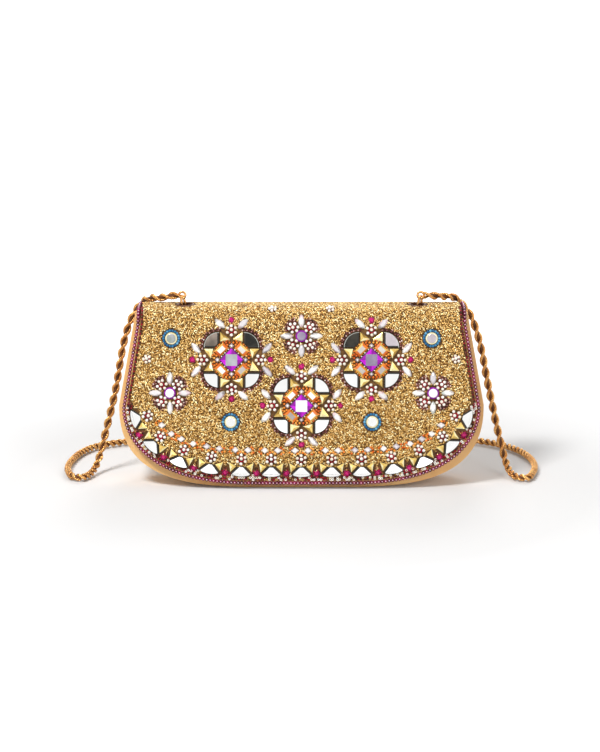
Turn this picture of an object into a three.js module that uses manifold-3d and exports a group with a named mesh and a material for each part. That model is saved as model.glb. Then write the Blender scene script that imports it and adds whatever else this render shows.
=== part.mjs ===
// Clutch bag with a jewelled mirror-work flap and a rope chain strap.
// Millimetres, +Z up. The bag stands on its base with the flap towards -Y.
// The origin is the middle of the flat under the base.
import * as THREE from 'three';
import { mergeVertices } from 'three/addons/utils/BufferGeometryUtils.js';
import Module from 'manifold-3d';

const wasm = await Module();
wasm.setup();

// Body outline, seen from the front
const bagHeight = 121.5;
const bodyTopHalfWidth = 112.4;
const bodyShoulderHalfWidth = 124.6;
const bodyShoulderHeight = 56;
const baseFlatHalf = 35;
const sideTopHeight = 116;
const bodyBasePull = 52;
const bodySidePull = 46;
const cornerBelly = 1;
const outlineSteps = 10;

// Body section, seen from the side
const flapLeanDeg = 8;
const backLeanDeg = 1.6;
const backTopY = 18.6;
const leatherThickness = 1.6;
const gussetThickness = 1.8;
const liningThickness = 0.9;
const liningTopHeight = 86;
const panelCornerHeight = 112;
const mouthScoopHeight = 90;
const mouthScoopHalf = 78;
const mouthFlatHalf = 43;
const mouthShoulder = 4;
const panelCornerFlat = 8;
const cutPast = 4;
const panelSetback = 5.4;
const seat = 0.3;

// Beaded cloth: the sewn root strip and the swinging flap
const hingeY = 2;
const clothThickness = 1.4;
const flapLiningThickness = 1.0;
const flapLiningInset = 2.2;
const foldRadius = 11;
const flapCrown = 1.6;
const flapTopHalfWidth = 107;
const flapShoulderHalfWidth = 118.5;
const flapBottomHeight = 6.8;
const flapBasePull = 50;
const flapSidePull = 38;
const rootBackDrop = 13;
const rootEdgeRadius = 3;
const pipingRadius = 1.35;

// Eyelets and the hardware that the strap hangs on
const eyeletX = 79.5;
const eyeletBehindHinge = 7.9;
const eyeletBore = 4.75;
const eyeletWall = 0.5;
const eyeletFlange = 6.8;
const eyeletRimHeight = 1.1;
const washerThickness = 0.8;
const jumpRingRadius = 2.5;
const jumpRingWire = 0.6;
const jumpRingRise = 7;
const endLinkWire = 0.5;
const endLinkRadius = 1.6;
const anchorWire = 0.8;
const anchorRadius = 3;
const anchorStraight = 7;
const anchorDepth = 8.5;
const tabWidth = 6;
const tabLeather = 1.3;
const tabTail = 10;
const rivetRadius = 1.6;
const rivetHeight = 0.8;
const rivetDrop = 3;

// Magnetic snap
const snapHeight = 34;
const snapRadius = 7;
const snapSocketThickness = 1.7;
const snapSocketFloor = 0.7;
const snapSocketBore = 3;
const snapBevel = 0.5;
const snapStudThickness = 1.0;
const snapNubRadius = 2.5;
const snapNubLength = 0.9;
const snapNubTaper = 0.3;

// Chain strap
const chainRadius = 2.8;
const chainLobeHalfThickness = 1.15;
const chainPitch = 16;
const chainStepsPerPitch = 6;

// Stones and mirrors
const stoneSink = 0.5;
const glueLine = 0.35;
const girdleShare = 0.4;
const squareTable = 0.55;
const marquiseTable = 0.45;
const roundTable = 0.5;
const clothSmoothing = 0.04;
const centreStoneSide = 10.8;
const centreStoneRise = 2.4;
const fanCentre = 8.6;
const fanOuter = 10.4;
const fanInner = 4.2;
const tileRise = 1.2;
const tileTop = 0.94;
const amberAcross = 9;
const amberAlong = 6.2;
const amberOffset = 9.9;
const marquiseLength = 8.8;
const marquiseWidth = 4.2;
const marquiseRise = 1.7;
const marquiseOut = 24.4;
const marquiseSide = 7.8;
const marquiseTiltDeg = 42;
const goldRise = 1.1;
const goldWedgeOutline = [[3.4, 2.8], [-3.2, 3.3], [-2.7, -3.1]];
const goldWedgeOut = 15.6;
const goldWedgeSide = 4.6;
const rubyRadius = 1.8;
const rubyRise = 1.5;
const rubyOut = 26.5;
const roundMirrorRadius = 3.8;
const mirrorRingRadius = 5.3;
const mirrorRingBead = 0.95;
const starStoneRadius = 3.1;
const starStoneRise = 2.2;
const starArm = 10.2;
const starClusterOut = 8.7;
const clusterRadius = 2.9;
const clusterRise = 1.6;
const leafSpacing = 21.1;
const leafCount = 13;
const leafInset = 5.4;
const leafHalf = 6.4;
const leafTipHeight = 0.6;
const leafInner = 3.4;
const leafInnerHalf = 2.3;
const leafOuter = 3.1;
const leafOuterCorner = [3.5, 2.5];
const rubyInset = 3.6;
const clusterInset = 13.6;

// Places of the ornament on the flap's face: across from the middle, and down from the bag's top
const downFromTop = ([x, drop]) => [x, bagHeight - drop];
const medallionPlaces = [[-47.5, 33.5], [0, 64.5], [47.5, 33.5]].map(downFromTop);
const starPlaces = [[0, 17.5], [-89.5, 56], [89.5, 56]].map(downFromTop);
const roundMirrorPlaces = [[-88.4, 19.1], [-48.2, 75.5], [48.2, 75.5], [88.4, 19.1]].map(downFromTop);
const floretPlaces = [[-105, 33], [105, 33]].map(downFromTop);

// Finishes
const finish = (color, roughness, metalness) => ({ color, roughness, metalness });
const finishes = {
  beadedCloth: finish(0xd9b06c, 0.45, 0.5),
  leather: finish(0xdca460, 0.55, 0),
  lining: finish(0xc79a63, 0.85, 0),
  gold: finish(0xc98f3c, 0.3, 0.9),
  magenta: finish(0xa3195b, 0.25, 0.1),
  purple: finish(0x7d1fb4, 0.1, 0.1),
  mirror: finish(0xf4f4f2, 0.05, 0.9),
};

const bag = new THREE.Group();

function place(name, geometry, finishName) {
  const material = new THREE.MeshStandardMaterial(finishes[finishName]);
  const mesh = new THREE.Mesh(geometry, material);
  mesh.name = name;
  bag.add(mesh);
  return mesh;
}

const radians = THREE.MathUtils.degToRad;

// Closed-mesh helpers

function weld(geometry) {
  const bare = geometry.clone();
  for (const key of Object.keys(bare.attributes)) {
    if (key !== 'position') bare.deleteAttribute(key);
  }
  return mergeVertices(bare, 1e-4);
}

function toSolid(geometry) {
  const welded = weld(geometry);
  return new wasm.Manifold(new wasm.Mesh({
    numProp: 3,
    vertProperties: new Float32Array(welded.attributes.position.array),
    triVerts: new Uint32Array(welded.index.array),
  }));
}

function fromSolid(solid) {
  const mesh = solid.getMesh();
  const geometry = new THREE.BufferGeometry();
  geometry.setAttribute('position', new THREE.BufferAttribute(mesh.vertProperties, 3));
  geometry.setIndex(new THREE.BufferAttribute(mesh.triVerts, 1));
  geometry.computeVertexNormals();
  return geometry;
}

// Turns a closed mesh's faces outwards, which a mirroring move or a reversed outline upsets.
function faceOut(geometry) {
  const position = geometry.attributes.position;
  const index = geometry.index.array;
  const [a, b, c] = [new THREE.Vector3(), new THREE.Vector3(), new THREE.Vector3()];
  let volume = 0;
  for (let i = 0; i < index.length; i += 3) {
    a.fromBufferAttribute(position, index[i]);
    b.fromBufferAttribute(position, index[i + 1]);
    c.fromBufferAttribute(position, index[i + 2]);
    volume += a.dot(b.cross(c));
  }
  if (volume < 0) {
    for (let i = 0; i < index.length; i += 3) [index[i + 1], index[i + 2]] = [index[i + 2], index[i + 1]];
  }
  geometry.computeVertexNormals();
  return geometry;
}

function mapVertices(source, move) {
  const geometry = weld(source);
  const position = geometry.attributes.position;
  const point = new THREE.Vector3();
  for (let i = 0; i < position.count; i += 1) {
    point.fromBufferAttribute(position, i);
    move(point);
    position.setXYZ(i, point.x, point.y, point.z);
  }
  return faceOut(geometry);
}

// A closed body through rings of points. Each ring has the same number of points.
function loft(rings) {
  const sides = rings[0].length;
  const corners = rings.flat();
  const faces = [];
  const last = (rings.length - 1) * sides;
  for (let here = 0; here < last; here += sides) {
    const next = here + sides;
    for (let j = 0; j < sides; j += 1) {
      const k = (j + 1) % sides;
      faces.push(here + j, here + k, next + k, here + j, next + k, next + j);
    }
  }
  for (let j = 1; j < sides - 1; j += 1) {
    faces.push(0, j + 1, j);
    faces.push(last, last + j, last + j + 1);
  }
  const geometry = new THREE.BufferGeometry().setFromPoints(corners);
  geometry.setIndex(faces);
  return faceOut(geometry);
}

// A sheet with thickness: face(i, j) and underside(i, j) are its two skins.
function sheet(rows, columns, face, underside) {
  const corners = [];
  const faces = [];
  const stride = columns + 1;
  const under = (rows + 1) * stride;
  for (const skin of [face, underside]) {
    for (let i = 0; i <= rows; i += 1) {
      for (let j = 0; j <= columns; j += 1) corners.push(skin(i, j));
    }
  }
  for (let i = 0; i < rows; i += 1) {
    for (let j = 0; j < columns; j += 1) {
      const a = i * stride + j;
      const b = a + stride;
      faces.push(a, b, b + 1, a, b + 1, a + 1);
      faces.push(under + a, under + b + 1, under + b, under + a, under + a + 1, under + b + 1);
    }
  }
  const rim = [];
  for (let j = 0; j < columns; j += 1) rim.push(j);
  for (let i = 0; i < rows; i += 1) rim.push(i * stride + columns);
  for (let j = columns; j > 0; j -= 1) rim.push(rows * stride + j);
  for (let i = rows; i > 0; i -= 1) rim.push(i * stride);
  rim.forEach((a, n) => {
    const b = rim[(n + 1) % rim.length];
    faces.push(a, b, under + b, a, under + b, under + a);
  });
  const geometry = new THREE.BufferGeometry().setFromPoints(corners);
  geometry.setIndex(faces);
  return faceOut(geometry);
}

// Outline of the body

// The right half of an outline: the flat under the base, a soft corner and a straight side.
// Its points run from the middle of the base to the top, moved inwards by the inset.
function halfOutline(line, inset, cornerSteps, sideSteps) {
  const { bottom, shoulderX, topX, topZ, basePull, sidePull } = line;
  const start = new THREE.Vector2(baseFlatHalf, bottom);
  const shoulder = new THREE.Vector2(shoulderX, bodyShoulderHeight);
  const nearBase = new THREE.Vector2(baseFlatHalf + basePull, bottom);
  const nearSide = new THREE.Vector2(shoulderX + cornerBelly, bodyShoulderHeight - sidePull);
  const corner = new THREE.CubicBezierCurve(start, nearBase, nearSide, shoulder);
  const side = new THREE.LineCurve(shoulder, new THREE.Vector2(topX, topZ));
  const points = [new THREE.Vector2(0, bottom), ...corner.getPoints(cornerSteps),
    ...side.getPoints(sideSteps).slice(1)];
  return points.map((p, i) => {
    const along = (points[i + 1] ?? p).clone().sub(points[i - 1] ?? p).normalize();
    if (i === 0) return new THREE.Vector2(0, p.y + inset);
    if (i === points.length - 1) return new THREE.Vector2(p.x - inset / along.y, p.y);
    return new THREE.Vector2(p.x - along.y * inset, p.y + along.x * inset);
  });
}

function bodyHalf(inset, top) {
  const spread = (bodyShoulderHalfWidth - bodyTopHalfWidth) / (sideTopHeight - bodyShoulderHeight);
  return halfOutline({
    bottom: 0,
    shoulderX: bodyShoulderHalfWidth,
    topX: bodyShoulderHalfWidth - (top - bodyShoulderHeight) * spread,
    topZ: top,
    basePull: bodyBasePull,
    sidePull: bodySidePull,
  }, inset, outlineSteps, 1);
}

function outlinePoints(right) {
  const left = right.slice(1).map((p) => new THREE.Vector2(-p.x, p.y)).reverse();
  return [...left, ...right];
}

// Side profile: where the front and back leather lie at a height

const flapTan = Math.tan(radians(flapLeanDeg));
const backTan = Math.tan(radians(backLeanDeg));
const foldSweep = radians(90 - flapLeanDeg);
const foldCentreZ = bagHeight - foldRadius;
const faceTopY = hingeY - foldRadius * Math.sin(foldSweep);
const faceTopZ = foldCentreZ + foldRadius * Math.cos(foldSweep);

const faceY = (z) => faceTopY - (faceTopZ - z) * flapTan;
const frontOuterY = (z) => faceY(z) + panelSetback;
const frontInnerY = (z) => frontOuterY(z) + leatherThickness;
const backInnerY = (z) => backTopY - leatherThickness + (bagHeight - z) * backTan;
const backOuterY = (z) => backInnerY(z) + leatherThickness;

// A flat outline in X and Z becomes a panel between two leaning planes.
function panelBetween(shape, nearY, farY, curveSegments = 8) {
  const geometry = new THREE.ExtrudeGeometry(shape, { depth: 1, bevelEnabled: false, curveSegments });
  return mapVertices(geometry, (p) => {
    const height = p.y;
    const through = 1 - p.z;
    p.set(p.x, THREE.MathUtils.lerp(nearY(height), farY(height), through), height);
  });
}

function makeFrontPanel() {
  const outline = outlinePoints(bodyHalf(0, panelCornerHeight));
  const shape = new THREE.Shape(outline);
  const corner = outline[outline.length - 1];
  const high = corner.y;
  const low = mouthScoopHeight;
  const ledge = corner.x - panelCornerFlat;
  const upper = mouthScoopHalf + mouthShoulder;
  shape.lineTo(ledge, high);
  shape.bezierCurveTo(upper, high, mouthScoopHalf, low, mouthFlatHalf, low);
  shape.lineTo(-mouthFlatHalf, low);
  shape.bezierCurveTo(-mouthScoopHalf, low, -upper, high, -ledge, high);
  place('front_panel', panelBetween(shape, frontOuterY, frontInnerY), 'leather');
}

function makeBackPanel() {
  const top = bagHeight - rootEdgeRadius;
  const shape = new THREE.Shape(outlinePoints(bodyHalf(0, top)));
  place('back_panel', panelBetween(shape, backInnerY, backOuterY), 'leather');
}

// One strip of leather, bent round the sides and base between the two panels
function makeGusset() {
  const outer = outlinePoints(bodyHalf(0, sideTopHeight));
  const inner = outlinePoints(bodyHalf(gussetThickness, sideTopHeight));
  const near = ({ x, y }) => new THREE.Vector3(x, frontInnerY(y) + seat, y);
  const far = ({ x, y }) => new THREE.Vector3(x, backInnerY(y) - seat, y);
  const rings = outer.map((p, i) => [near(p), far(p), far(inner[i]), near(inner[i])]);
  place('gusset', loft(rings), 'leather');
}

function makeLining() {
  const outerInset = gussetThickness + seat;
  const near = (z) => frontInnerY(z) + seat;
  const far = (z) => backInnerY(z) - seat;
  const outer = new THREE.Shape(outlinePoints(bodyHalf(outerInset, liningTopHeight)));
  const hollowTop = liningTopHeight + cutPast;
  const hollow = new THREE.Shape(outlinePoints(bodyHalf(outerInset + liningThickness, hollowTop)));
  const pouch = toSolid(panelBetween(outer, near, far));
  const room = toSolid(panelBetween(hollow, (z) => near(z) + liningThickness, (z) => far(z) - liningThickness));
  place('lining', fromSolid(pouch.subtract(room)), 'lining');
}

// Beaded flap. Distance s runs over the fold from the hinge line and down the face.

const foldLength = foldRadius * foldSweep;
const faceCos = Math.cos(radians(flapLeanDeg));
const sAtHeight = (z) => foldLength + (faceTopZ - z) / faceCos;
const heightAtS = (s) => faceTopZ - (s - foldLength) * faceCos;
const flapLength = sAtHeight(flapBottomHeight);
const foldSteps = 4;
const sideSteps = 2;
const edgeSteps = 9;

const flapHalf = (inset, cornerSteps = edgeSteps) => halfOutline({
  bottom: flapBottomHeight,
  shoulderX: flapShoulderHalfWidth,
  topX: flapTopHalfWidth,
  topZ: faceTopZ,
  basePull: flapBasePull,
  sidePull: flapSidePull,
}, inset, cornerSteps, sideSteps);

function flapPoint(x, s, depth) {
  const span = THREE.MathUtils.clamp((s - foldLength * 0.5) / (flapLength - foldLength * 0.5), 0, 1);
  const across = Math.max(0, 1 - (x / flapShoulderHalfWidth) ** 2);
  const lift = flapCrown * across * Math.sin(Math.PI * span) - depth;
  const turn = Math.min(s / foldRadius, foldSweep);
  const normal = new THREE.Vector3(0, -Math.sin(turn), Math.cos(turn));
  const base = new THREE.Vector3(x, hingeY, foldCentreZ).addScaledVector(normal, foldRadius);
  if (s > foldLength) {
    base.y -= (s - foldLength) * Math.sin(radians(flapLeanDeg));
    base.z -= (s - foldLength) * faceCos;
  }
  return base.addScaledVector(normal, lift);
}

// Rows down the flap: its distance from the hinge line and its half width there.
function flapRows(inset, hingeGap, perCurve) {
  const rows = [];
  for (let i = 0; i < foldSteps; i += 1) {
    const s = hingeGap + (foldLength - hingeGap) * i / foldSteps;
    rows.push([s, flapTopHalfWidth - inset]);
  }
  for (const p of flapHalf(inset, perCurve).slice(1).reverse()) rows.push([sAtHeight(p.y), p.x]);
  return rows;
}

function flapSheet(inset, nearDepth, farDepth, perCurve, columns) {
  const rows = flapRows(inset, seat / 2, perCurve);
  const skin = (depth) => (i, j) => {
    const [s, half] = rows[i];
    return flapPoint(half * (2 * j / columns - 1), s, depth);
  };
  return sheet(rows.length - 1, columns, skin(nearDepth), skin(farDepth));
}

// A piece laid on the flap: local x across, y up the face, z out of it.
function onFlap(geometry, x, z, turn = 0, lift = 0) {
  const s = sAtHeight(z);
  const cos = Math.cos(turn);
  const sin = Math.sin(turn);
  return mapVertices(geometry, (p) => {
    const across = p.x * cos - p.y * sin;
    const along = p.x * sin + p.y * cos;
    p.copy(flapPoint(x + across, s - along, -p.z - lift));
  });
}

const atHeight = (outline, z) => outline.map(([x, y]) => new THREE.Vector3(x, y, z));
const shrink = (outline, share) => outline.map(([x, y]) => [x * share, y * share]);

// A small stone: its outline, set into the beaded cloth, tapers to a flat table.
function stone(outline, rise, table) {
  return loft([atHeight(outline, -stoneSink), atHeight(shrink(outline, table), rise)]);
}

// A large stone with a straight girdle below its sloped crown
function girdledStone(outline, rise, table) {
  return loft([atHeight(outline, 0), atHeight(outline, rise * girdleShare), atHeight(shrink(outline, table), rise)]);
}

function polygon(radius, sides, start = 0) {
  const points = [];
  for (let i = 0; i < sides; i += 1) {
    const angle = start + 2 * Math.PI * i / sides;
    points.push([radius * Math.cos(angle), radius * Math.sin(angle)]);
  }
  return points;
}

function rectangle(width, depth) {
  const [x, y] = [width / 2, depth / 2];
  return [[-x, -y], [x, -y], [x, y], [-x, y]];
}

function marquiseOutline(length, width) {
  const shoulder = length * 0.24;
  const half = width / 2;
  return [[length / 2, 0], [shoulder, half * 0.8], [-shoulder, half * 0.8],
    [-length / 2, 0], [-shoulder, -half * 0.8], [shoulder, -half * 0.8]];
}

function fanOutline() {
  const points = [];
  for (let i = 0; i <= 4; i += 1) {
    const angle = Math.PI / 2 * i / 4;
    points.push([fanCentre + fanOuter * Math.cos(angle), fanCentre + fanOuter * Math.sin(angle)]);
  }
  points.push([fanCentre, fanCentre + fanInner], [fanCentre + fanInner, fanCentre]);
  return points;
}

// A thin glass tile with a ground edge, given by its outline
function tile(outline) {
  const share = (axis) => outline.reduce((sum, point) => sum + point[axis] / outline.length, 0);
  const [midX, midY] = [share(0), share(1)];
  const top = outline.map(([x, y]) => [midX + (x - midX) * tileTop, midY + (y - midY) * tileTop]);
  return loft([atHeight(outline, 0), atHeight(top, tileRise)]);
}

// Border: places along a line that runs inside the flap's edge.

const leafLine = new THREE.SplineCurve(flapHalf(leafInset, 16));
const leafLineLength = leafLine.getLength();

function borderPlace(distance, inset) {
  const share = Math.abs(distance) / leafLineLength;
  const point = leafLine.getPointAt(share);
  const along = leafLine.getTangentAt(share);
  const inward = inset - leafInset;
  const side = distance < 0 ? -1 : 1;
  const x = (point.x - along.y * inward) * side;
  const z = point.y + along.x * inward;
  return { x, z, turn: Math.atan2(along.y, along.x) * side };
}

function makeFlap() {
  let cloth = toSolid(flapSheet(0, 0, clothThickness, edgeSteps, 10));
  const sew = (geometry) => {
    cloth = cloth.add(toSolid(geometry));
  };
  const marquise = stone(marquiseOutline(marquiseLength, marquiseWidth), marquiseRise, marquiseTable);
  const ruby = stone(polygon(rubyRadius, 4), rubyRise, squareTable);
  const amber = stone(rectangle(amberAlong, amberAcross), marquiseRise, squareTable);
  const leftWedge = stone(goldWedgeOutline, goldRise, roundTable);
  const rightWedge = stone(goldWedgeOutline.map(([x, y]) => [-x, y]).reverse(), goldRise, roundTable);
  const cluster = stone(polygon(clusterRadius, 5), clusterRise, roundTable);
  const starStone = stone(polygon(starStoneRadius, 8), starStoneRise, roundTable);
  const marquiseTilt = radians(marquiseTiltDeg);
  for (const [cx, cz] of medallionPlaces) {
    for (let q = 0; q < 4; q += 1) {
      const turn = q * Math.PI / 2;
      const cos = Math.cos(turn);
      const sin = Math.sin(turn);
      const at = (x, y) => [cx + x * cos - y * sin, cz + x * sin + y * cos];
      const diagonal = amberOffset * Math.SQRT1_2;
      sew(onFlap(amber, ...at(diagonal, diagonal), turn + Math.PI / 4));
      sew(onFlap(ruby, ...at(0, rubyOut), turn));
      sew(onFlap(rightWedge, ...at(goldWedgeSide, goldWedgeOut), turn));
      sew(onFlap(leftWedge, ...at(-goldWedgeSide, goldWedgeOut), turn));
      sew(onFlap(marquise, ...at(marquiseSide, marquiseOut), turn + marquiseTilt));
      sew(onFlap(marquise, ...at(-marquiseSide, marquiseOut), turn - marquiseTilt));
    }
  }
  for (const [cx, cz] of starPlaces) {
    sew(onFlap(starStone, cx, cz));
    for (let q = 0; q < 4; q += 1) {
      const turn = q * Math.PI / 2;
      const corner = turn + Math.PI / 4;
      sew(onFlap(marquise, cx + starArm * Math.cos(turn), cz + starArm * Math.sin(turn), turn));
      sew(onFlap(cluster, cx + starClusterOut * Math.cos(corner), cz + starClusterOut * Math.sin(corner)));
    }
  }
  for (const [x, z] of floretPlaces) sew(onFlap(cluster, x, z));
  const beadRing = weld(new THREE.TorusGeometry(mirrorRingRadius, mirrorRingBead, 5, 12));
  for (const [x, z] of roundMirrorPlaces) sew(onFlap(beadRing, x, z, 0, mirrorRingBead / 2));
  const middle = (leafCount - 1) / 2;
  for (let i = 0; i < leafCount; i += 1) {
    const spot = borderPlace((i - middle) * leafSpacing, clusterInset);
    sew(onFlap(cluster, spot.x, spot.z, spot.turn));
    if (i === leafCount - 1) continue;
    const gem = borderPlace((i - middle + 0.5) * leafSpacing, rubyInset);
    sew(onFlap(ruby, gem.x, gem.z, gem.turn));
  }
  place('flap_cloth', fromSolid(cloth.simplify(clothSmoothing)), 'beadedCloth');
}

function makeFlapLining() {
  const near = clothThickness + seat;
  place('flap_lining', flapSheet(flapLiningInset, near, near + flapLiningThickness, 7, 6), 'lining');
}

// Beaded piping round the flap's free edge. Its back lies level with the cloth's back.
const pipingDepth = clothThickness - pipingRadius;

function makeFlapPiping() {
  const out = pipingRadius + seat;
  const points = [];
  const start = pipingRadius + seat;
  for (let i = 0; i < foldSteps; i += 1) {
    points.push(flapPoint(flapTopHalfWidth + out, start + (foldLength - start) * i / foldSteps, pipingDepth));
  }
  for (const p of flapHalf(-out).reverse()) points.push(flapPoint(p.x, sAtHeight(p.y), pipingDepth));
  const left = points.slice(0, -1).reverse().map((p) => new THREE.Vector3(-p.x, p.y, p.z));
  place('flap_piping', tubeThrough([...points, ...left], pipingRadius, 6), 'magenta');
}

// A round bar that passes through every point given.
function tubeThrough(points, radius, sides) {
  const curve = new THREE.CatmullRomCurve3(points, false, 'centripetal');
  const count = points.length - 1;
  const tangents = points.map((p, i) => curve.getTangent(i / count));
  let normal = new THREE.Vector3(0, 0, 1).cross(tangents[0]).normalize();
  if (normal.lengthSq() < 0.5) normal = new THREE.Vector3(1, 0, 0);
  const rings = points.map((p, i) => {
    normal.addScaledVector(tangents[i], -normal.dot(tangents[i])).normalize();
    const side = tangents[i].clone().cross(normal);
    return polygon(radius, sides).map(([a, b]) => p.clone().addScaledVector(normal, a).addScaledVector(side, b));
  });
  return loft(rings);
}

// Root strip: the part of the beaded cloth that is sewn over the back panel
const rootInnerY = (z) => backOuterY(z) + seat;

function rootProfile(depth) {
  const outerY = backOuterY(bagHeight) + seat + clothThickness - depth;
  const radius = rootEdgeRadius - depth;
  const points = [[hingeY + seat / 2, bagHeight - depth]];
  for (let i = 0; i <= 4; i += 1) {
    const turn = Math.PI / 2 * i / 4;
    points.push([outerY - radius + radius * Math.sin(turn), bagHeight - depth - radius + radius * Math.cos(turn)]);
  }
  const low = bagHeight - rootBackDrop;
  points.push([rootInnerY(low) + clothThickness - depth, low]);
  return points;
}

function makeRootStrip() {
  const outer = rootProfile(0);
  const inner = rootProfile(clothThickness);
  const skin = (line) => (i, j) => new THREE.Vector3(flapTopHalfWidth * (2 * j - 1), ...line[i]);
  let strip = toSolid(sheet(outer.length - 1, 1, skin(outer), skin(inner)));
  for (const side of [-1, 1]) {
    const holeRadius = eyeletBore + eyeletWall + seat;
    const hole = new THREE.CylinderGeometry(holeRadius, holeRadius, cutPast * 2, 12);
    hole.rotateX(Math.PI / 2);
    hole.translate(side * eyeletX, hingeY + eyeletBehindHinge, bagHeight);
    strip = strip.subtract(toSolid(hole));
  }
  place('flap_root', fromSolid(strip), 'beadedCloth');
}

function makeRootPiping() {
  const out = flapTopHalfWidth + pipingRadius + seat;
  const line = rootProfile(pipingDepth);
  line[0][0] += seat;
  for (const [name, side] of [['root_piping_left', -1], ['root_piping_right', 1]]) {
    const points = line.map(([y, z]) => new THREE.Vector3(out * side, y, z));
    place(name, tubeThrough(points, pipingRadius, 6), 'magenta');
  }
}

// Hardware at each eyelet

function makeEyelet(name, x) {
  const top = bagHeight + seat;
  const bottom = bagHeight - clothThickness - seat - washerThickness - seat;
  const wall = eyeletBore + eyeletWall;
  const rimMiddle = (eyeletFlange + eyeletBore) / 2;
  const rim = [];
  for (let i = 0; i <= 3; i += 1) {
    const turn = Math.PI * i / 3;
    rim.push([rimMiddle + (eyeletFlange - rimMiddle) * Math.cos(turn), top + eyeletRimHeight * Math.sin(turn)]);
  }
  const barrel = [[eyeletBore, bottom], [wall, bottom], [wall, top]];
  place(name, turned([...barrel, ...rim, barrel[0]], 12, x), 'gold');
}

function makeWasher(name, x) {
  const high = bagHeight - clothThickness - seat;
  const low = high - washerThickness;
  const inner = eyeletBore + eyeletWall + seat;
  const outer = eyeletFlange + seat;
  const profile = [[inner, low], [outer, low], [outer, high], [inner, high], [inner, low]];
  place(name, turned(profile, 12, x), 'gold');
}

function turned(profile, segments, x) {
  const geometry = new THREE.LatheGeometry(profile.map(([r, z]) => new THREE.Vector2(r, z)), segments);
  geometry.rotateX(Math.PI / 2);
  geometry.translate(x, hingeY + eyeletBehindHinge, 0);
  return faceOut(weld(geometry));
}

// A wire link: a ring, pulled out by a straight length along its own x.
function wireLink(radius, wire, straight, steps = 10, sides = 5) {
  const geometry = new THREE.TorusGeometry(radius, wire, sides, steps);
  geometry.rotateZ(Math.PI / steps);
  return mapVertices(geometry, (p) => {
    p.x += Math.sign(p.x) * straight / 2;
  });
}

const ringZ = bagHeight + jumpRingRise;
const linkTopZ = ringZ - jumpRingRadius + jumpRingWire + endLinkWire + seat;
const anchorTopZ = bagHeight - anchorDepth;
const linkBottomZ = anchorTopZ - anchorWire - endLinkWire - seat;
const anchorZ = anchorTopZ - anchorRadius;
const hardwareY = hingeY + eyeletBehindHinge;

function makeJumpRing(name, x) {
  const ring = wireLink(jumpRingRadius, jumpRingWire, 0);
  ring.rotateX(Math.PI / 2);
  ring.translate(x, hardwareY, ringZ);
  place(name, ring, 'gold');
}

function makeEndLink(name, x) {
  const straight = linkTopZ - linkBottomZ - 2 * endLinkRadius;
  const link = wireLink(endLinkRadius, endLinkWire, straight);
  link.rotateY(Math.PI / 2);
  link.translate(x, hardwareY, (linkTopZ + linkBottomZ) / 2);
  place(name, link, 'gold');
}

function makeAnchorRing(name, x) {
  const ring = wireLink(anchorRadius, anchorWire, anchorStraight);
  ring.rotateX(Math.PI / 2);
  ring.translate(x, hardwareY, anchorZ);
  place(name, ring, 'gold');
}

// A leather tab: a loop round the anchor ring's lower bar, with a tail on the back panel
function makeAnchorTab(name, x) {
  const wireZ = anchorZ - anchorRadius;
  const loopInner = anchorWire + seat;
  const loopOuter = loopInner + tabLeather;
  const tailTop = wireZ + loopOuter;
  const tailBottom = wireZ - tabTail;
  const wall = (z) => backInnerY(z) - seat;
  const shape = new THREE.Shape();
  shape.absarc(hardwareY, wireZ, loopOuter, Math.PI / 2, Math.PI * 3 / 2);
  shape.lineTo(wall(wireZ) - tabLeather * 2, wireZ - loopOuter);
  shape.lineTo(wall(tailBottom) - tabLeather * 2, tailBottom);
  shape.lineTo(wall(tailBottom), tailBottom);
  shape.lineTo(wall(tailTop), tailTop);
  const hole = new THREE.Path();
  hole.absarc(hardwareY, wireZ, loopInner, 0, Math.PI * 2, true);
  shape.holes.push(hole);
  const tab = new THREE.ExtrudeGeometry(shape, { depth: tabWidth, bevelEnabled: false, curveSegments: 5 });
  place(name, mapVertices(tab, (p) => p.set(p.z - tabWidth / 2 + x, p.x, p.y)), 'leather');
  return wireZ - loopOuter - rivetDrop;
}

function makeRivet(name, x, z) {
  const head = new THREE.CylinderGeometry(rivetRadius, rivetRadius * 0.8, rivetHeight, 10);
  head.translate(x, backInnerY(z) - seat - tabLeather * 2 - seat - rivetHeight / 2, z);
  place(name, faceOut(weld(head)), 'gold');
}

function makeStrapHardware() {
  for (const [label, side] of [['left', -1], ['right', 1]]) {
    const x = side * eyeletX;
    makeEyelet(`eyelet_${label}`, x);
    makeWasher(`eyelet_washer_${label}`, x);
    makeJumpRing(`jump_ring_${label}`, x);
    makeEndLink(`end_link_${label}`, x);
    makeAnchorRing(`anchor_ring_${label}`, x);
    const rivetZ = makeAnchorTab(`anchor_tab_${label}`, x);
    makeRivet(`anchor_rivet_${label}`, x, rivetZ);
  }
}

// Magnetic snap: a socket on the front panel and a stud on the flap lining

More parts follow.
